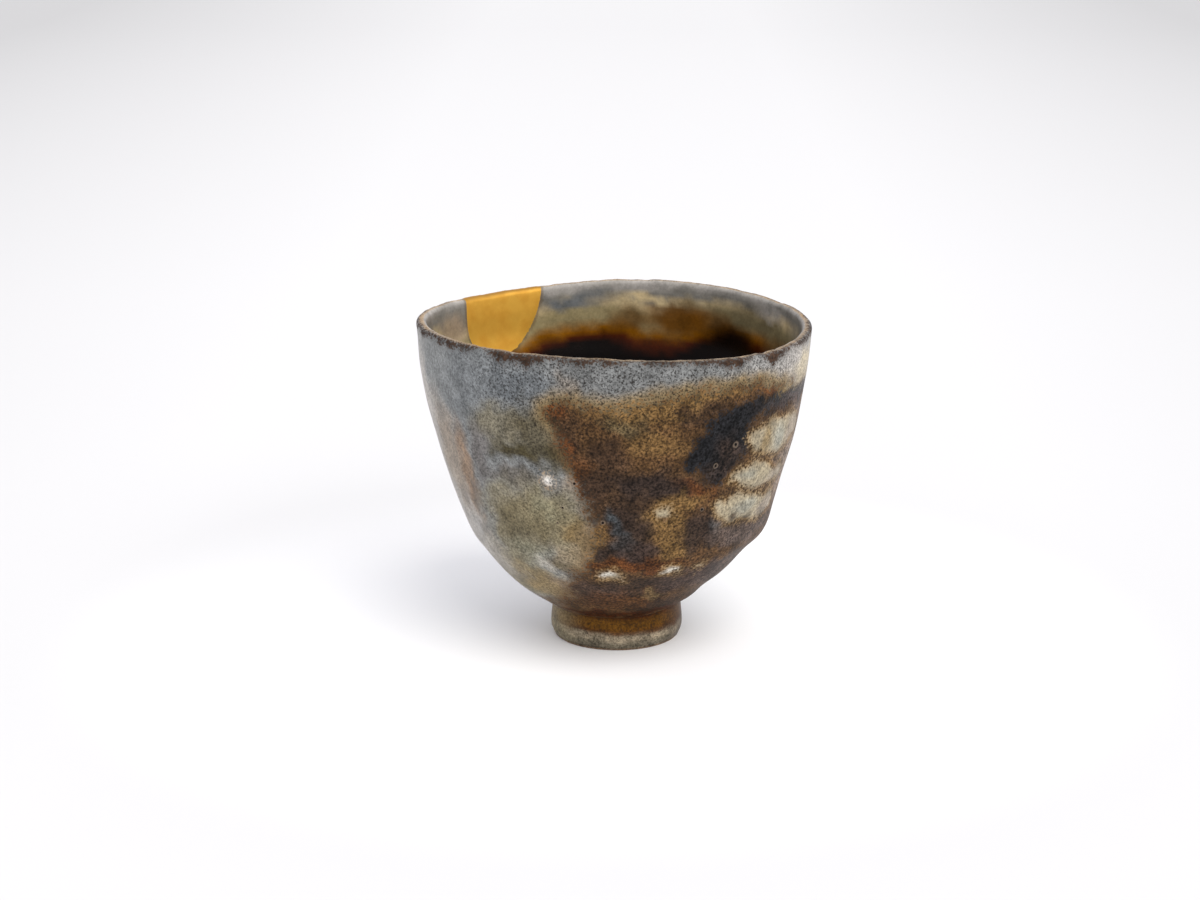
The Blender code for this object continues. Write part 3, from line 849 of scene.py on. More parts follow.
@dataclass(frozen=True)
class WoodFiredGlaze:
    """Ash-glazed stoneware from a wood kiln: satin glass over coarse iron-bearing clay."""

    name: str = "wood_fired_ash_glaze"
    layers: tuple = (
        GlazeLayer("iron", "iron_tone", 1.5, 1.7, 1.5, 0.72, 0.34, 0.50, 0.03),
        GlazeLayer("ink", "ink_tone", 1.5, 1.2, 1.0, 1.00, 0.60, 0.38, 0.03),
        # The shell coat also carries the painted highlight dot on the ledge
        GlazeLayer("shell", "shell_tone", 0.9, 1.0, 0.7, 0.40, 0.30, 0.42, -0.04),
        GlazeLayer("rim_burn", "rim_tone", 0.5, 0.9, 0.9, 0.60, 0.30, 0.60, -0.03),
    )
    # Grit, specks, mottle and tears as (size in millimetres, detail, roughness, half range). Grit of the
    # clay and specks of the glaze are about a third of a millimetre, so they are drawn at the size of one
    # dot of the picture; the mottles of the melt are a few millimetres wide
    noises: tuple = (
        (0.62, 2.0, 0.60, 0.16),
        (0.40, 1.0, 0.50, 0.25),
        (4.0, 4.0, 0.60, 0.18),
        (3.0, 5.0, 0.65, 0.22),
    )
    # Paler ring and dark pit of a crater, as (inner and outer share of its radius, tone, strength, height)
    crater_parts: tuple = (
        (0.55, 1.00, "#8F7D6C", 0.5, 0.10),
        (0.25, 0.55, "#120E0C", 1.0, -0.25),
    )
    ground_roughness: float = 0.40
    ground_grain: float = 0.30
    ground_mottle: float = 0.22
    gloss: float = 0.07
    index: float = 1.5
    pit: str = "#221C19"
    pit_strength: float = 0.85
    lacquer: str = "#5E4C30"
    lacquer_strength: float = 0.5

    def build(self) -> bpy.types.Material:
        """Make the material.

        Returns:
            The material, which reads the cup's painted attributes and its Object coordinates.
        """
        material, tree, shader = new_material(self.name)
        clouds = self.clouds(tree)
        surface = self.ground(tree, clouds)
        for layer in self.layers:
            surface = self.coat(tree, clouds, layer, surface)
            if layer.attribute == "iron":
                surface = self.pits(tree, clouds, surface)
        surface = self.seam(tree, clouds, surface)
        for crater in CRATERS:
            surface = self.crater(tree, clouds, crater, surface)
        bump = add_node(tree, "Bump", {"Height": surface.relief, "Distance": METRE, "Strength": 1.0})
        tree.links.new(surface.colour, shader.inputs["Base Color"])
        tree.links.new(surface.rough, shader.inputs["Roughness"])
        tree.links.new(bump, shader.inputs["Normal"])
        shader.inputs["IOR"].default_value = self.index
        shader.inputs["Specular IOR Level"].default_value = self.gloss
        return material

    def clouds(self, tree: bpy.types.NodeTree) -> Clouds:
        """Add the shared noise.

        Args:
            tree: The material's node tree.

        Returns:
            The sockets to read it from.
        """
        place = add_node(tree, "TexCoord", output="Object")
        mm = add_node(tree, "VectorMath", {0: place, "Scale": 1000.0}, operation="SCALE")
        found = []
        for size, detail, rough, half in self.noises:
            inputs = {"Vector": mm, "Scale": 1.0 / size, "Detail": detail, "Roughness": rough}
            noise_at = add_node(tree, "TexNoise", inputs)
            limits = {0: noise_at, 1: 0.5 - half, 2: 0.5 + half, 3: -1.0, 4: 1.0}
            found.append(add_node(tree, "MapRange", limits))
        return Clouds(mm, *found)

    def ground(self, tree: bpy.types.NodeTree, clouds: Clouds) -> Surface:
        """Lay the ground glaze, with grit that shows through where the speckle is strong.

        Args:
            tree: The material's node tree.
            clouds: Shared noise.

        Returns:
            The surface of the ground glaze.
        """
        speck = add_node(tree, "Attribute", output="Fac", attribute_name="speckle")
        tone = add_node(tree, "Attribute", output="Color", attribute_name="ground_tone")
        satin = add_node(tree, "Attribute", output="Fac", attribute_name="satin")
        amount = {0: speck, 1: self.ground_grain, 2: self.ground_grain * 0.7}
        grain = add_node(tree, "Math", amount, operation="MULTIPLY_ADD")
        value = 1.0
        for uneven, depth in ((clouds.grit, grain), (clouds.mottle, self.ground_mottle)):
            value = add_node(tree, "Math", {0: uneven, 1: depth, 2: value}, operation="MULTIPLY_ADD")
        mixed = {0: 1.0, 6: tone, 7: value}
        colour = add_node(tree, "Mix", mixed, 2, data_type="RGBA", blend_type="MULTIPLY")
        rough = add_node(tree, "Math", {0: clouds.mottle, 1: 0.05, 2: satin}, operation="MULTIPLY_ADD")
        height = add_node(tree, "Math", {0: speck, 1: 0.006, 2: 0.005}, operation="MULTIPLY_ADD")
        relief = add_node(tree, "Math", {0: clouds.grit, 1: height}, operation="MULTIPLY")
        return Surface(colour, rough, relief)

    def coat(self, tree: bpy.types.NodeTree, clouds: Clouds, layer: GlazeLayer, under: Surface) -> Surface:
        """Lay one coat over the surface.

        Args:
            tree: The material's node tree.
            clouds: Shared noise.
            layer: The coat.
            under: The surface below it.

        Returns:
            The surface with the coat.
        """
        reach = add_node(tree, "Attribute", output="Fac", attribute_name=layer.attribute)
        for uneven, amount in ((clouds.tears, layer.torn), (clouds.grit, layer.crumble)):
            reach = add_node(tree, "Math", {0: uneven, 1: amount, 2: reach}, operation="MULTIPLY_ADD")
        edges = {0: reach, 1: -layer.edge, 2: layer.edge, 3: 0.0, 4: 1.0}
        mask = add_node(tree, "MapRange", edges, interpolation_type="SMOOTHSTEP")
        tone = add_node(tree, "Attribute", output="Color", attribute_name=layer.tone)
        fine, coarse = (
            add_node(tree, "Math", {0: uneven, 1: depth, 2: 1.0}, operation="MULTIPLY_ADD")
            for uneven, depth in ((clouds.grit, layer.grain), (clouds.mottle, layer.mottle))
        )
        value = add_node(tree, "Math", {0: fine, 1: coarse}, operation="MULTIPLY")
        own = add_node(tree, "Mix", {0: 1.0, 6: tone, 7: value}, 2, data_type="RGBA", blend_type="MULTIPLY")
        colour = add_node(tree, "Mix", {0: mask, 6: under.colour, 7: own}, 2, data_type="RGBA")
        rough = add_node(tree, "Mix", {0: mask, 2: under.rough, 3: layer.roughness})
        height = {0: clouds.grit, 1: abs(layer.relief) * 0.3, 2: layer.relief}
        step = add_node(tree, "Math", height, operation="MULTIPLY_ADD")
        relief = add_node(tree, "Math", {0: mask, 1: step, 2: under.relief}, operation="MULTIPLY_ADD")
        return Surface(colour, rough, relief)

    def pits(self, tree: bpy.types.NodeTree, clouds: Clouds, under: Surface) -> Surface:
        """Prick the surface with dark pits where the speckle is strong.

        Args:
            tree: The material's node tree.
            clouds: Shared noise.
            under: The surface to prick.

        Returns:
            The pitted surface.
        """
        speck = add_node(tree, "Attribute", output="Fac", attribute_name="speckle")
        edges = {0: clouds.specks, 1: 0.14, 2: 0.56, 3: 0.0, 4: self.pit_strength}
        pit = add_node(tree, "MapRange", edges, interpolation_type="SMOOTHSTEP")
        share = add_node(tree, "Math", {0: pit, 1: speck}, operation="MULTIPLY")
        mixed = {0: share, 6: under.colour, 7: linear(self.pit)}
        return Surface(add_node(tree, "Mix", mixed, 2, data_type="RGBA"), under.rough, under.relief)

    def seam(self, tree: bpy.types.NodeTree, clouds: Clouds, under: Surface) -> Surface:
        """Darken the glaze beside the fill, where a thread of lacquer shows.

        Args:
            tree: The material's node tree.
            clouds: Shared noise.
            under: The surface below the lacquer.

        Returns:
            The surface with the lacquer.
        """
        gap = add_node(tree, "Attribute", output="Fac", attribute_name="seam")
        gap = add_node(tree, "Math", {0: clouds.tears, 1: 0.5, 2: gap}, operation="MULTIPLY_ADD")
        edges = {0: gap, 1: 0.3, 2: 1.1, 3: self.lacquer_strength, 4: 0.0}
        thread = add_node(tree, "MapRange", edges, interpolation_type="SMOOTHSTEP")
        mixed = {0: thread, 6: under.colour, 7: linear(self.lacquer)}
        return Surface(add_node(tree, "Mix", mixed, 2, data_type="RGBA"), under.rough, under.relief)

    def crater(self, tree: bpy.types.NodeTree, clouds: Clouds, crater: Crater, under: Surface) -> Surface:
        """Sink one burst bubble into the surface.

        Args:
            tree: The material's node tree.
            clouds: Shared noise.
            crater: The burst bubble.
            under: The surface around it.

        Returns:
            The surface with the crater.
        """
        spots = {0: clouds.place, 1: crater_place(crater)}
        away = add_node(tree, "VectorMath", spots, "Value", operation="DISTANCE")
        away = add_node(tree, "Math", {0: clouds.grit, 1: 0.12, 2: away}, operation="MULTIPLY_ADD")
        colour, relief = under.colour, under.relief
        for inner, outer, tone, strength, height in self.crater_parts:
            edges = {0: away, 1: crater.radius * inner, 2: crater.radius * outer, 3: 1.0, 4: 0.0}
            mask = add_node(tree, "MapRange", edges, interpolation_type="SMOOTHSTEP")
            share = add_node(tree, "Math", {0: mask, 1: strength}, operation="MULTIPLY")
            colour = add_node(tree, "Mix", {0: share, 6: colour, 7: linear(tone)}, 2, data_type="RGBA")
            relief = add_node(tree, "Math", {0: mask, 1: height, 2: relief}, operation="MULTIPLY_ADD")
        return Surface(colour, under.rough, relief)


@dataclass(frozen=True)
class GoldDust:
    """Gold powder laid on wet lacquer and burnished: satin metal with faint cloudy wear."""

    name: str = "burnished_gold_powder"
    tone: str = "#E8B143"
    worn: str = "#DAA035"
    # Browner gold for what faces up: painted shade on the top of the lip
    lip: str = "#A87A28"
    roughness: float = 0.56
    metal: float = 0.50
    # Clouds of wear are some 4 mm wide. Powder grains are far finer than they are drawn: a quarter of
    # a millimetre wide, so that they show. Both are counts to the millimetre
    wear_scale: float = 0.28
    dust_scale: float = 4.0
    depth: float = 0.12

    def build(self) -> bpy.types.Material:
        """Make the material.

        Returns:
            The material, which reads the fill's Object coordinates.
        """
        material, tree, shader = new_material(self.name)
        place = add_node(tree, "TexCoord", output="Object")
        mm = add_node(tree, "VectorMath", {0: place, "Scale": 1000.0}, operation="SCALE")
        wear = add_node(tree, "TexNoise", {"Vector": mm, "Scale": self.wear_scale, "Detail": 5.0})
        dust = add_node(tree, "TexNoise", {"Vector": mm, "Scale": self.dust_scale, "Detail": 2.0})
        share = add_node(tree, "MapRange", {0: wear, 1: 0.38, 2: 0.66, 3: 0.0, 4: 1.0})
        mixed = {0: share, 6: linear(self.tone), 7: linear(self.worn)}
        body = add_node(tree, "Mix", mixed, 2, data_type="RGBA")
        # Painted shade: what faces up, the top of the lip, is mixed toward a browner gold
        facing = add_node(tree, "NewGeometry", output="Normal")
        upward = add_node(tree, "SeparateXYZ", {0: facing}, "Z")
        top_shade = add_node(tree, "MapRange", {0: upward, 1: 0.25, 2: 0.85, 3: 0.0, 4: 1.0})
        mixed = {0: top_shade, 6: body, 7: linear(self.lip)}
        colour = add_node(tree, "Mix", mixed, 2, data_type="RGBA")
        matt = {0: wear, 1: 0.3, 2: 0.7, 3: self.roughness - 0.05, 4: self.roughness + 0.08}
        rough = add_node(tree, "MapRange", matt)
        height = add_node(tree, "Math", {0: dust, 1: 0.03, 2: wear}, operation="MULTIPLY_ADD")
        low = add_node(tree, "Math", {0: height, 1: self.depth}, operation="MULTIPLY")
        bump = add_node(tree, "Bump", {"Height": low, "Distance": METRE, "Strength": 1.0})
        tree.links.new(colour, shader.inputs["Base Color"])
        tree.links.new(rough, shader.inputs["Roughness"])
        tree.links.new(bump, shader.inputs["Normal"])
        shader.inputs["Metallic"].default_value = self.metal
        return material


FORM = Form()
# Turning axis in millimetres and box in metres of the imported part, both read once it is loaded
AXIS = np.zeros(2)
PACKED = np.zeros((2, 3))


def crater_place(crater: Crater) -> tuple[float, float, float]:
    """Find the middle of a crater on the shaped outside.

    Args:
        crater: The burst bubble.

    Returns:
        Its place in millimetres, as a shader reads it.
    """
    outer = FORM.outer(60)
    radius = float(np.interp(crater.height, outer[:, 1], outer[:, 0]))
    lift = float(np.clip(FORM.above_hip(crater.height), 0.0, 1.0))
    turn = np.array(crater.turn)
    radius += float(sum(wave.at(turn) for wave in FORM.lobes)) * lift
    radius += float(sum(mark.depth(turn, radius, crater.height) for mark in TOOL_MARKS))
    height = crater.height + float(sum(wave.at(turn) for wave in FORM.waves)) * lift * lift
    bow = math.radians(crater.turn)
    return (AXIS[0] + radius * math.sin(bow), AXIS[1] - radius * math.cos(bow), height)


def deselect_all() -> None:
    """Leave object mode's selection empty, since the frame's nodes come selected."""
    bpy.ops.object.select_all(action="DESELECT")


def vectors(items: bpy.types.bpy_prop_collection, name: str) -> Array:
    """Read one vector of each item of a mesh.

    Args:
        items: Vertices or their normals.
        name: Name of the vector in each item.

    Returns:
        The vectors, one row each.
    """
    values = np.empty(len(items) * 3)
    items.foreach_get(name, values)
    return values.reshape(-1, 3)


def mesh_points(piece: bpy.types.Object) -> Array:
    """Vertices of a piece."""
    return vectors(piece.data.vertices, "co")


def mesh_normals(piece: bpy.types.Object) -> Array:
    """Way that each vertex of a piece faces."""
    return vectors(piece.data.vertex_normals, "vector")


def set_points(piece: bpy.types.Object, points: Array) -> None:
    """Move the vertices of a piece."""
    piece.data.vertices.foreach_set("co", points.ravel())
    piece.data.update()


def finder_of(points: Array) -> KDTree:
    """Make the tree that finds the nearest of the points.

    Args:
        points: Places, one row each.

    Returns:
        The tree, in which a point's number is its row.
    """
    finder = KDTree(len(points))
    for index, point in enumerate(points):
        finder.insert(point, index)
    finder.balance()
    return finder


@dataclass
class ThrownBody:
    """The cup's whole clay body, spun from its section and then shaped by hand."""

    form: Form = FORM
    around: int = 384
    steps: tuple = (108, 9, 22)
    lip_worn: float = 0.16
    lip_reach: float = 2.2
    nick_reach: float = 1.3
    wall_uneven: float = 0.07

    def throw(self, name: str) -> tuple[bpy.types.Object, Chart]:
        """Spin the body and shape it.

        Args:
            name: Name of the new object.

        Returns:
            The body in millimetres, and the chart of its vertices before it was shaped.
        """
        piece = self.spin(name)
        chart, outside = self.chart(piece)
        self.shape(piece, chart, outside)
        return piece, chart

    def spin(self, name: str) -> bpy.types.Object:
        """Extrude the section point by point from one vertex, and spin it round.

        Args:
            name: Name of the new object.

        Returns:
            The turned body, in millimetres.
        """
        points, _, _ = self.form.section(*self.steps)
        deselect_all()
        bpy.ops.mesh.primitive_plane_add(size=1.0, location=(0.0, 0.0, points[0, 1]))
        piece = bpy.context.object
        piece.name = name
        bpy.ops.object.transform_apply(location=True, rotation=False, scale=False)
        bpy.ops.object.mode_set(mode="EDIT")
        bpy.ops.mesh.merge(type="CENTER")
        for step in np.diff(points, axis=0):
            bpy.ops.mesh.extrude_region_move(TRANSFORM_OT_translate={"value": (step[0], 0.0, step[1])})
        bpy.ops.mesh.select_all(action="SELECT")
        bpy.ops.mesh.spin(steps=self.around, angle=math.tau, center=(0.0, 0.0, 0.0), axis=(0.0, 0.0, 1.0))
        bpy.ops.mesh.select_all(action="SELECT")
        bpy.ops.mesh.remove_doubles(threshold=0.001)
        bpy.ops.mesh.normals_make_consistent(inside=False)
        bpy.ops.object.mode_set(mode="OBJECT")
        return piece

    def chart(self, piece: bpy.types.Object) -> tuple[Chart, Array]:
        """Find each vertex of the turned body on its section.

        Args:
            piece: The turned body before it is shaped.

        Returns:
            The chart, and 1 for each vertex on the outside of the bowl, else 0.
        """
        section, outside, from_lip = self.form.section(*self.steps)
        finder = finder_of(np.insert(section, 1, 0.0, axis=1))
        points = mesh_points(piece)
        radius = np.hypot(points[:, 0], points[:, 1])
        found = np.array([finder.find((r, 0.0, z))[1] for r, z in zip(radius, points[:, 2])])
        return Chart(turn_of(points), points[:, 2].copy(), radius, from_lip[found], points), outside[found]

    def shape(self, piece: bpy.types.Object, chart: Chart, outside: Array) -> None:
        """Press the turned body out of round, wave its rim, cut the marks and wear the lip.

        Args:
            piece: The turned body.
            chart: Places of its vertices.
            outside: 1 for each vertex on the outside of the bowl, else 0.
        """
        form = self.form
        normals = mesh_normals(piece)
        points = chart.points.copy()
        turn, height, radius = chart.turn, chart.height, chart.radius
        outward = np.stack([points[:, 0], points[:, 1], np.zeros(len(points))], 1)
        outward /= np.maximum(radius, 1e-6)[:, None]
        share = form.share(height)
        above_hip = form.above_hip(height)
        lift = np.maximum(above_hip, 0.0)
        lobes = sum(wave.at(turn) for wave in form.lobes)
        waves = sum(wave.at(turn) for wave in form.waves)
        move = outward * (lobes * np.minimum(lift, 1.0))[:, None]
        move[:, 2] += waves * lift * lift
        marks = sum(mark.depth(turn, radius, height) for mark in TOOL_MARKS)
        above_foot = rise(share, 0.0, form.line[0][1])
        move += normals * (marks * outside * above_foot)[:, None]
        faces_in = (outside < 0.5) & ((normals * outward).sum(1) < 0.0)
        _, join_turn, join_spread, join_reach = form.join_rise
        recess = form.foot_radius - form.foot_chamfer - form.ring_width
        away = (apart(turn, join_turn) / join_spread) ** 2 + ((height - form.foot_height) / join_reach) ** 2
        join = form.join_rise[0] * rise(height, 0.0, form.foot_height) * np.exp(-away)
        move[:, 2] += np.where((radius > recess + 0.01) & ~faces_in, join, 0.0)
        rings = np.cos(math.tau * (height / form.ring_pitch - turn / 360.0))
        fade = rise(share, 0.0, form.line[2][1]) * rise(above_hip, 1.0, 2.0 / 3.0)
        move += normals * (np.where(faces_in, form.ring_depth * rings * fade, 0.0))[:, None]
        points += move

        # Uneven lip, soft undulation and shallow nicks, all too fine for the solid
        near_lip = np.exp(-((chart.from_lip / self.lip_reach) ** 2))
        wear = cloud(chart.points, 5.0, 2.2) * 0.11 + cloud(chart.points, 1.6, 4.4) * 0.07
        points[:, 2] += near_lip * (wear - self.lip_worn)
        uneven = self.wall_uneven * cloud(chart.points, 7.0, 6.1)
        points += normals * (outside * above_foot * uneven)[:, None]
        for middle, half_width, depth in LIP_NICKS:
            notch = depth * hump(turn, radius, middle, half_width)
            points[:, 2] -= notch * np.exp(-((chart.from_lip / self.nick_reach) ** 2))
        set_points(piece, points)


@dataclass(frozen=True)
class FillOutline:
    """Outline of the gold fill on the wall, and the prism that parts it from the cup."""

    turn: float = 222.1
    width: float = 24.0
    depth: float = 15.6
    drift: float = 2.6
    squareness: float = 2.3
    reach: float = 10.0
    steps: int = 72

    def points(self, clearance: float) -> Array:
        """Draw the outline.

        Args:
            clearance: How far it is moved in.

        Returns:
            Rows of (distance along the rim, depth below it).
        """
        swing = math.pi * np.arange(self.steps + 1) / self.steps
        side, down = np.cos(swing), np.maximum(np.sin(swing), 0.0)
        along = np.copysign(np.abs(side) ** (2.0 / self.squareness), side) * self.width / 2
        depth = down ** (2.0 / self.squareness) * self.depth
        outline = np.stack([along + self.drift * (depth / self.depth), depth], 1)
        before = outline[np.maximum(np.arange(self.steps + 1) - 1, 0)]
        after = outline[np.minimum(np.arange(self.steps + 1) + 1, self.steps)]
        run = after - before
        run /= np.linalg.norm(run, axis=1)[:, None]
        return outline + np.stack([-run[:, 1], run[:, 0]], 1) * clearance

    def inside(self, points: Array) -> Array:
        """Distance of places from the outline in millimetres, above zero inside it.

        Args:
            points: Places around the cup's axis, in millimetres.

        Returns:
            One distance per place.
        """
        x = np.radians(apart(turn_of(points), self.turn)) * FORM.rim_radius
        y = FORM.height - points[:, 2]
        best = np.full(len(x), np.inf)
        outline = self.points(0.0)
        for (ax, ay), (bx, by) in zip(outline, outline[1:]):
            best = np.minimum(best, off_stretch(x - ax, y - ay, bx - ax, by - ay))
        lowest = int(np.argmax(outline[:, 1]))
        right = np.interp(y, outline[:lowest + 1, 1], outline[:lowest + 1, 0])
        left = np.interp(y, outline[lowest:, 1][::-1], outline[lowest:, 0][::-1])
        within = (x < right) & (x > left) & (y < self.depth)
        return np.where(within, best, -best)

    def cutter(self, name: str, clearance: float) -> bpy.types.Object:
        """Make the radial prism on the outline, which reaches through the wall and above the rim.

        Args:
            name: Name of the new object.
            clearance: How far the outline is moved in.

        Returns:
            The prism, in millimetres.
        """
        outline = self.points(clearance)
        first, last = outline[0], outline[-1]
        above = self.reach / 2
        share = np.arange(1, self.steps)[:, None] / self.steps
        top = np.hstack([last[0] + (first[0] - last[0]) * share, np.full((self.steps - 1, 1), -above)])
        loop = np.vstack([(first[0], -above), outline, (last[0], -above), top])
        near = FORM.rim_radius - FORM.rim_wall - self.reach
        far = FORM.rim_radius + self.reach
        bow = math.radians(self.turn) + loop[:, 0] / FORM.rim_radius
        places = np.stack([np.sin(bow) * near, -np.cos(bow) * near, FORM.height - loop[:, 1]], 1)
        deselect_all()
        bpy.ops.mesh.primitive_circle_add(vertices=len(loop), radius=near, fill_type="NGON")
        prism = bpy.context.object
        prism.name = name
        set_points(prism, places)
        bpy.ops.object.mode_set(mode="EDIT")
        bpy.ops.mesh.select_all(action="SELECT")
        bpy.ops.mesh.extrude_region_move()
        bpy.ops.transform.resize(value=(far / near, far / near, 1.0), center_override=(0.0, 0.0, 0.0))
        bpy.ops.mesh.select_all(action="SELECT")
        bpy.ops.mesh.quads_convert_to_tris()
        bpy.ops.mesh.normals_make_consistent(inside=False)
        bpy.ops.object.mode_set(mode="OBJECT")
        return prism


def carve(piece: bpy.types.Object, cutter: bpy.types.Object, operation: str) -> None:
    """Apply a Boolean to a piece and remove its cutter.

    Args:
        piece: Piece to cut.
        cutter: Solid to cut with.
        operation: DIFFERENCE or INTERSECT.
    """
    deselect_all()
    bpy.context.view_layer.objects.active = piece
    piece.select_set(True)
    cut = piece.modifiers.new("cut", "BOOLEAN")
    cut.operation = operation
    cut.solver = "EXACT"
    cut.object = cutter
    bpy.ops.object.modifier_apply(modifier=cut.name)
    bpy.data.objects.remove(cutter)


def finish_piece(piece: bpy.types.Object, material: bpy.types.Material, crease: float = 38.0) -> None:
    """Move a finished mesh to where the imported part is, in metres, smooth it and give it its finish.

    Args:
        piece: The piece.
        material: Its finish.
        crease: Edges sharper than this many degrees stay sharp.
    """
    points = (mesh_points(piece) + (AXIS[0], AXIS[1], 0.0)) * METRE
    set_points(piece, np.clip(points, *PACKED))
    deselect_all()
    bpy.context.view_layer.objects.active = piece
    piece.select_set(True)
    bpy.ops.object.shade_smooth_by_angle(angle=math.radians(crease))
    piece.data.materials.clear()
    piece.data.materials.append(material)


# Reach of a coat where it is kept off
ABSENT = -9.0


@dataclass(frozen=True)
class Canvas:
    """What painting the cup works from: its chart, a finely and a loosely wavering copy, and clouds.

    Inside is 1 within the cup and 0 outside it; iron and shell are how far those coats reach.
    """

    chart: Chart
    fine: Chart
    loose: Chart
    slow: Array
    quick: Array
    inside: Array
    iron: Array
    shell: Array

    @classmethod
    def over(cls, chart: Chart) -> "Canvas":
        """Stretch a canvas over a chart.

        Args:
            chart: Places of the cup's vertices.

        Returns:
            The canvas.
        """
        fine = chart.warped(0.7)
        return cls(
            chart=chart,
            fine=fine,
            loose=chart.warped(1.7),
            slow=cloud(chart.points, 7.0, 4.9),
            quick=cloud(chart.points, 2.6, 1.9),
            inside=rise(chart.from_lip, -0.2, 1.0),
            iron=union(IRON_PATCHES, fine),
            shell=union(SHELL_AND_GLINT_PATCHES, fine),
        )

    def plain(self, tone: Tone) -> Array:
        """One tone at every vertex."""
        return np.tile(tone.light, (len(self.quick), 1))

    def flecked(self, colour: Array, quick: float, slow: float = 0.0) -> Array:
        """Colours lightened and darkened by shares of the clouds."""
        return colour * (1.0 + quick * self.quick + slow * self.slow)[:, None]


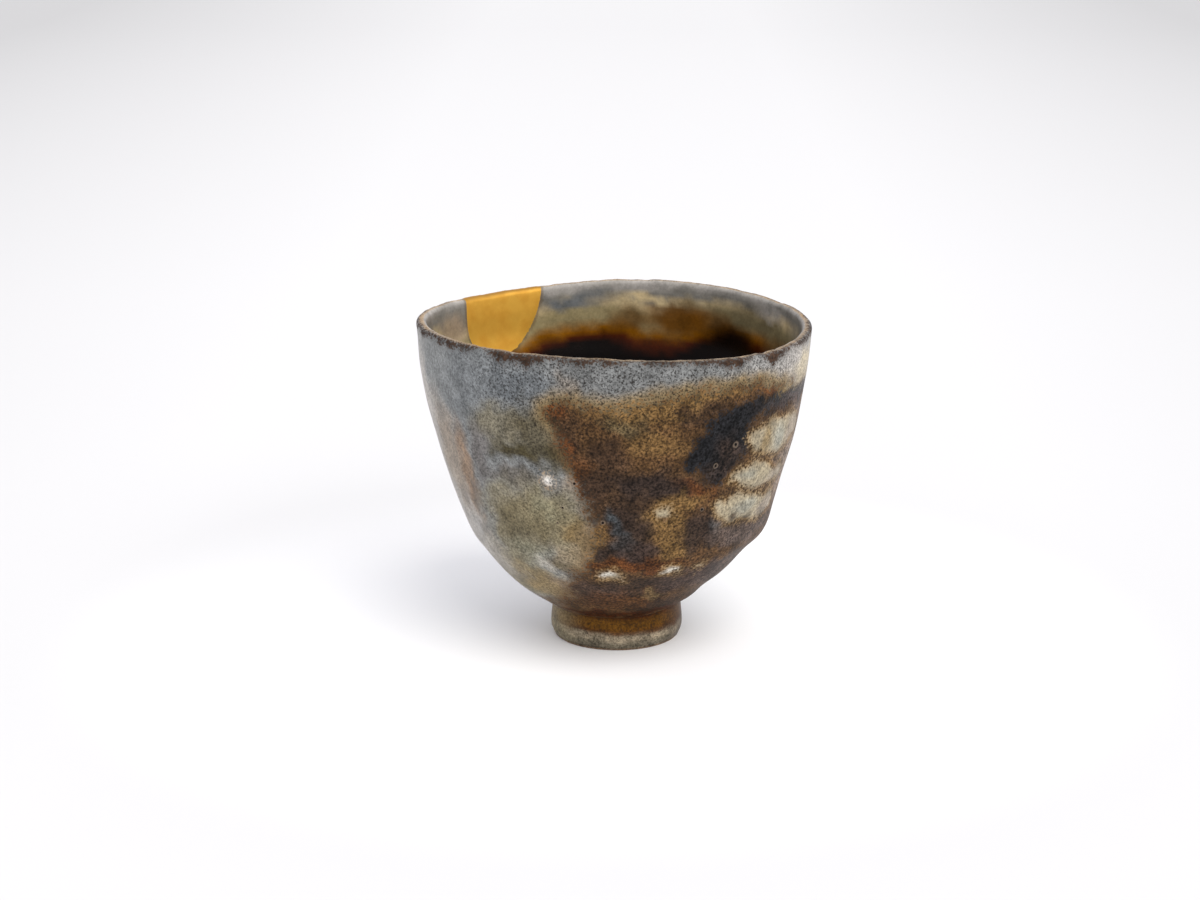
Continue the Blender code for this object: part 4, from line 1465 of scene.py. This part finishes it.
@dataclass
class StonewareCup:
    """The glazed cup with the notch of the lost shard cut out of its rim."""

    body: ThrownBody = field(default_factory=ThrownBody)
    outline: FillOutline = field(default_factory=FillOutline)
    glaze: WoodFiredGlaze = field(default_factory=WoodFiredGlaze)
    burn_start: float = 0.45
    burn_width: float = 1.2
    foot_top: float = 8.4
    bare_radius: float = 14.9
    bare_height: float = 5.2
    seam_from: float = 45.0

    def build(self) -> bpy.types.Object:
        """Make the cup.

        Returns:
            The finished piece.
        """
        piece, chart = self.body.throw("glazed_cup")
        shaped = mesh_points(piece)
        carve(piece, self.outline.cutter("notch_cutter", 0.0), "DIFFERENCE")
        self.paint(piece, Canvas.over(self.carried(piece, chart, shaped)))
        finish_piece(piece, self.glaze.build())
        return piece

    def carried(self, piece: bpy.types.Object, chart: Chart, shaped: Array) -> Chart:
        """Carry the chart over to the mesh with the notch, whose cut has new vertices.

        Args:
            piece: The cup after the cut.
            chart: Chart of the body before the cut.
            shaped: Vertices of the body before the cut.

        Returns:
            The chart of the cup's own vertices.
        """
        finder = finder_of(shaped)
        points = mesh_points(piece)
        nearest = [finder.find_n(point, 3) for point in points]
        index = np.array([[item[1] for item in three] for three in nearest])
        far = np.array([[item[2] for item in three] for three in nearest])
        weight = 1.0 / (far + 1e-4)
        weight /= weight.sum(1)[:, None]
        height, from_lip = ((values[index] * weight).sum(1) for values in (chart.height, chart.from_lip))
        return Chart(turn_of(points), height, np.hypot(points[:, 0], points[:, 1]), from_lip, points)

    def paint(self, piece: bpy.types.Object, canvas: Canvas) -> None:
        """Lay the glaze's tones and coats on the cup as attributes.

        Args:
            piece: The cup.
            canvas: What the painting works from.
        """
        height, from_lip = canvas.chart.height, canvas.chart.from_lip
        kept_out = np.where(from_lip < -0.3, 0.0, ABSENT)
        deep = canvas.inside * rise(height, 67.0, 61.0)
        gap = np.abs(self.outline.inside(canvas.chart.points))
        layers = {
            "ground_tone": self.ground_tone(canvas),
            "iron_tone": self.iron_tone(canvas),
            "ink_tone": paint(canvas.plain(Tone.INK), INK_WASHES, canvas.loose),
            "shell_tone": self.shell_tone(canvas),
            "rim_tone": canvas.flecked(canvas.plain(Tone.DARK_BROWN), 0.25),
            "iron": canvas.iron + kept_out + np.where(height < self.foot_top, ABSENT, 0.0),
            "ink": union(INK_PATCHES, canvas.fine) + kept_out,
            "shell": canvas.shell + kept_out,
            "rim_burn": self.rim_burn(canvas.chart),
            "speckle": self.speckle(canvas),
            "satin": self.glaze.ground_roughness * (1.0 - 0.35 * deep),
            "seam": np.where(height > self.seam_from, gap, -ABSENT),
        }
        for name, values in layers.items():
            self.store(piece, name, values)

    def ground_tone(self, canvas: Canvas) -> Array:
        """Colour the ground glaze: ash outside, bands of melt inside, the foot and the crest of the lip.

        Args:
            canvas: What the painting works from.

        Returns:
            Linear colours.
        """
        chart, iron = canvas.chart, canvas.iron
        ground = paint(canvas.plain(Tone.ASH_GREY), GROUND_WASHES, canvas.loose)
        # The ash is tan above the iron coat and ochre below, where the two have run together
        glow = rise(iron, -4.2, -0.6) * rise(chart.height, 56.0, 62.0)
        ground = blend(ground, Tone.TAN.light, 0.9 * glow * (1.0 - 0.8 * rise(chart.turn, 56.0, 70.0)))
        border = rise(iron, -3.4, 0.0) * rise(chart.height, 60.0, 54.0)
        ground = canvas.flecked(blend(ground, Tone.OCHRE.light, 0.55 * border), 0.10, 0.06)
        run = np.interp((chart.turn - 90.0) % 360.0 + 90.0, *zip(*INSIDE_RUN))
        level = chart.height + run * rise(chart.height, 74.0, 68.0) + 0.7 * canvas.slow + 0.35 * canvas.quick
        bands = ramp(INSIDE_BANDS, level)
        ground = blend(ground, paint(bands, INSIDE_WASHES, canvas.fine), canvas.inside)
        crest = rise(np.abs(chart.from_lip), 0.85, 0.25) * (0.8 + 0.2 * canvas.quick)
        return blend(self.foot_tone(ground, canvas), Tone.LIP_CREAM.light, crest)

    def foot_tone(self, ground: Array, canvas: Canvas) -> Array:
        """Lay the bands of glaze and bare clay on the foot, and its bare underside.

        Args:
            ground: Linear colours so far.
            canvas: What the painting works from.

        Returns:
            The colours with the foot's own.
        """
        chart, slow, quick = canvas.chart, canvas.slow, canvas.quick
        level = chart.height + 0.35 * slow + 0.22 * quick + 0.5 * np.cos(np.radians(chart.turn - 30.0)) - 0.4
        side = canvas.flecked(ramp(FOOT_BANDS, level), 0.18)
        side = blend(side, Tone.PALE_OLIVE.light * 1.25, 0.6 * sector(chart.turn, -90.0, 20.0, 66.0))
        side = blend(side, Tone.PURPLE_BROWN.light, 0.5 * sector(chart.turn, 100.0, 25.0, 65.0))
        ground = blend(ground, side, rise(chart.height, 9.4, 8.2) * (chart.from_lip < 0.0))
        under = (chart.radius < self.bare_radius) & (chart.height < self.bare_height)
        clay = Tone.BROWN_CLAY.light * (0.75 + 0.15 * quick)[:, None]
        return np.where(under[:, None], clay, ground)

    def iron_tone(self, canvas: Canvas) -> Array:
        """Colour the iron coat, streaked, and scorched to ochre around the shell scars.

        Args:
            canvas: What the painting works from.

        Returns:
            Linear colours.
        """
        streaks = cloud(canvas.chart.points * (0.5, 0.5, 1.7), 3.0, 9.1)
        iron = paint(canvas.plain(Tone.BROWN), IRON_WASHES, canvas.loose) * (1.0 + 0.22 * streaks)[:, None]
        return blend(iron, Tone.OCHRE.light, 0.5 * rise(canvas.shell, -1.8, 0.0))

    def shell_tone(self, canvas: Canvas) -> Array:
        """Colour the scars that shells left in the glaze, thin and ochre at their edges, and the painted
        highlight dot on the ledge.

        Args:
            canvas: What the painting works from.

        Returns:
            Linear colours.
        """
        shell = paint(canvas.plain(Tone.CREAM), SHELL_AND_GLINT_WASHES, canvas.fine)
        shell = blend(shell, Tone.OCHRE.light, 0.8 * rise(canvas.shell, 1.5, -0.4))
        return canvas.flecked(shell, 0.12)

    def rim_burn(self, chart: Chart) -> Array:
        """Find how far the burnt band under the lip reaches, with its drips.

        Args:
            chart: Places of the vertices.

        Returns:
            Millimetres inside the band, below zero outside it.
        """
        width = self.burn_width + 0.6 * cloud(chart.points * (1.0, 1.0, 0.3), 6.0, 2.9)
        width += 0.5 * cloud(chart.points * (1.0, 1.0, 0.15), 2.4, 6.6)
        for middle, half_width, extra in RIM_DRIPS:
            width += extra * hump(chart.turn, chart.radius, middle, half_width)
        down = -chart.from_lip - self.burn_start
        return np.where(chart.from_lip < 0.4, np.minimum(down, width - down), ABSENT)

    def speckle(self, canvas: Canvas) -> Array:
        """Find how strongly grit and pits show: most under the lip, less on the left and right.

        Args:
            canvas: What the painting works from.

        Returns:
            The strength, below zero on the thick smooth glass inside, where the grit fades too.
        """
        turn = canvas.chart.turn
        upper = rise(canvas.chart.height, 54.0, 66.0)
        left, right = sector(turn, -100.0, 40.0, 76.0), sector(turn, 110.0, 35.0, 65.0)
        outside = (0.55 + 0.35 * upper) * (1.0 - (0.45 + 0.30 * upper) * left - 0.35 * right)
        return outside * (1.0 - canvas.inside) - 0.40 * canvas.inside

    def store(self, piece: bpy.types.Object, name: str, values: Array) -> None:
        """Keep one value or colour per vertex on the mesh.

        Args:
            piece: The cup.
            name: Name of the attribute.
            values: One number per vertex, or one row of red, green and blue.
        """
        if values.ndim == 1:
            piece.data.attributes.new(name, "FLOAT", "POINT").data.foreach_set("value", values)
            return
        full = np.hstack([np.clip(values, 0.0, 1.0), np.ones((len(values), 1))])
        piece.data.attributes.new(name, "FLOAT_COLOR", "POINT").data.foreach_set("color", full.ravel())


@dataclass
class GoldFill:
    """The fill of lacquer and gold powder, a little proud of the wall with a soft edge."""

    body: ThrownBody = field(default_factory=ThrownBody)
    outline: FillOutline = field(default_factory=FillOutline)
    finish: GoldDust = field(default_factory=GoldDust)
    overlap: float = 0.20
    proud: float = 0.13
    sunk: float = 0.02
    edge: float = 1.4

    def build(self) -> bpy.types.Object:
        """Make the fill.

        Returns:
            The finished piece.
        """
        piece, _ = self.body.throw("gold_fill")
        points = mesh_points(piece)
        inside = self.outline.inside(points)
        dome = self.proud * rise(inside, -self.overlap, self.edge - self.overlap) - self.sunk
        set_points(piece, points + mesh_normals(piece) * dome[:, None])
        carve(piece, self.outline.cutter("plug_cutter", -self.overlap), "INTERSECT")
        finish_piece(piece, self.finish.build())
        return piece


@dataclass
class Studio:
    """White table, soft light from the upper right, and the camera."""

    distance: float = 565.28
    pitch: float = 15.78
    pivot_height: float = 37.0
    aim_left: float = 3.95
    aim_height: float = 44.48
    lens: float = 72.07
    sensor: float = 36.0
    table: str = "#F8F8F8"
    table_size: float = 9000.0
    table_drop: float = 0.02
    # How the table dims, as (where it starts and ends in metres, and the share left or lost there)
    outward_shade: tuple = (0.06, 0.14, 0.76)
    side_shade: tuple = (0.12, 0.52, 0.18)
    far_shade: tuple = (0.40, 1.60, 0.06)
    room: float = 1.05
    room_tone: str = "#F2F2F8"
    lamp: float = 2.05
    lamp_tone: str = "#FFFCF6"
    lamp_spread: float = 52.0
    lamp_from: tuple = (0.40, -0.54, 0.76)

    def build(self) -> None:
        """Set the floor, the lights and the camera."""
        self.floor()
        self.lights()
        self.camera()

    def floor(self) -> None:
        """White table, a little dimmer to both sides and far behind, as the soft light falls off."""
        deselect_all()
        middle = (0.0, 0.0, -self.table_drop * METRE)
        bpy.ops.mesh.primitive_plane_add(size=self.table_size * METRE, location=middle)
        table = bpy.context.object
        table.name = "studio_floor"
        bpy.ops.object.transform_apply(location=True, rotation=True, scale=True)
        material, tree, shader = new_material("matt_white_table")
        place = add_node(tree, "TexCoord", output="Object")
        away = add_node(tree, "VectorMath", {0: place}, "Value", operation="LENGTH")
        start, end, left = self.outward_shade
        around = {0: away, 1: start, 2: end, 3: 1.0, 4: left}
        fall = add_node(tree, "MapRange", around, interpolation_type="SMOOTHSTEP")
        across = add_node(tree, "SeparateXYZ", {0: place}, "X")
        aside = add_node(tree, "Math", {0: across}, operation="ABSOLUTE")
        behind = add_node(tree, "SeparateXYZ", {0: place}, "Y")
        for far, (start, end, lost) in ((aside, self.side_shade), (behind, self.far_shade)):
            loss = add_node(tree, "MapRange", {0: far, 1: start, 2: end, 3: 0.0, 4: lost})
            fall = add_node(tree, "Math", {0: fall, 1: loss}, operation="SUBTRACT")
        mixed = {0: 1.0, 6: linear(self.table), 7: fall}
        colour = add_node(tree, "Mix", mixed, 2, data_type="RGBA", blend_type="MULTIPLY")
        tree.links.new(colour, shader.inputs["Base Color"])
        shader.inputs["Roughness"].default_value = 0.9
        shader.inputs["Specular IOR Level"].default_value = 0.1
        table.data.materials.append(material)
        table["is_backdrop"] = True

    def lights(self) -> None:
        """Even white surroundings and one broad soft lamp, far off."""
        world = bpy.data.worlds.new("white_room")
        bpy.context.scene.world = world
        world.use_nodes = True
        backdrop = world.node_tree.nodes["Background"]
        backdrop.inputs["Color"].default_value = linear(self.room_tone)
        backdrop.inputs["Strength"].default_value = self.room
        lamp = bpy.data.lights.new("broad_lamp", "SUN")
        lamp.energy = self.lamp
        lamp.angle = math.radians(self.lamp_spread)
        lamp.color = linear(self.lamp_tone)[:3]
        source = bpy.data.objects.new("broad_lamp", lamp)
        source.location = Vector(self.lamp_from)
        source.rotation_euler = (-Vector(self.lamp_from)).to_track_quat("-Z", "Y").to_euler()
        bpy.context.scene.collection.objects.link(source)

    def camera(self) -> None:
        """Camera a little above the cup, as in the photograph."""
        pitch = math.radians(self.pitch)
        offset = (0.0, -self.distance * math.cos(pitch), self.distance * math.sin(pitch) + self.pivot_height)
        spot = (Vector((AXIS[0], AXIS[1], 0.0)) + Vector(offset)) * METRE
        target = Vector((AXIS[0] - self.aim_left, AXIS[1], self.aim_height)) * METRE
        data = bpy.data.cameras.new("camera")
        data.lens = self.lens
        data.sensor_width = self.sensor
        camera = bpy.data.objects.new("camera", data)
        camera.location = spot
        camera.rotation_euler = (target - spot).to_track_quat("-Z", "Y").to_euler()
        bpy.context.scene.collection.objects.link(camera)
        bpy.context.scene.camera = camera
        bpy.context.scene.view_settings.view_transform = "Standard"


def find_axis() -> None:
    """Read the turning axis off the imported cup, whose foot ring is round."""
    node = bpy.data.objects[CUP_NODE]
    points = mesh_points(node)
    ring = points[points[:, 2] < 1e-6]
    AXIS[:] = (ring[:, :2].min(0) + ring[:, :2].max(0)) / 2 / METRE


def dress(piece: bpy.types.Object, node: str) -> None:
    """Hang a piece on the cup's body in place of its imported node, and log it.

    Args:
        piece: The finished piece.
        node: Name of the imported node.
    """
    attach(piece, BODY)
    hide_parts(node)
    LOG.info("%s: %d faces", piece.name, len(piece.data.polygons))


def main() -> None:
    """Load the frame and build the pieces and the studio around it."""
    logging.basicConfig(level=logging.INFO, format="%(name)s %(message)s")
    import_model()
    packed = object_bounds()
    PACKED[:] = packed
    find_axis()
    dress(StonewareCup().build(), CUP_NODE)
    dress(GoldFill().build(), FILL_NODE)
    Studio().build()


if __name__ == "__main__":
    main()
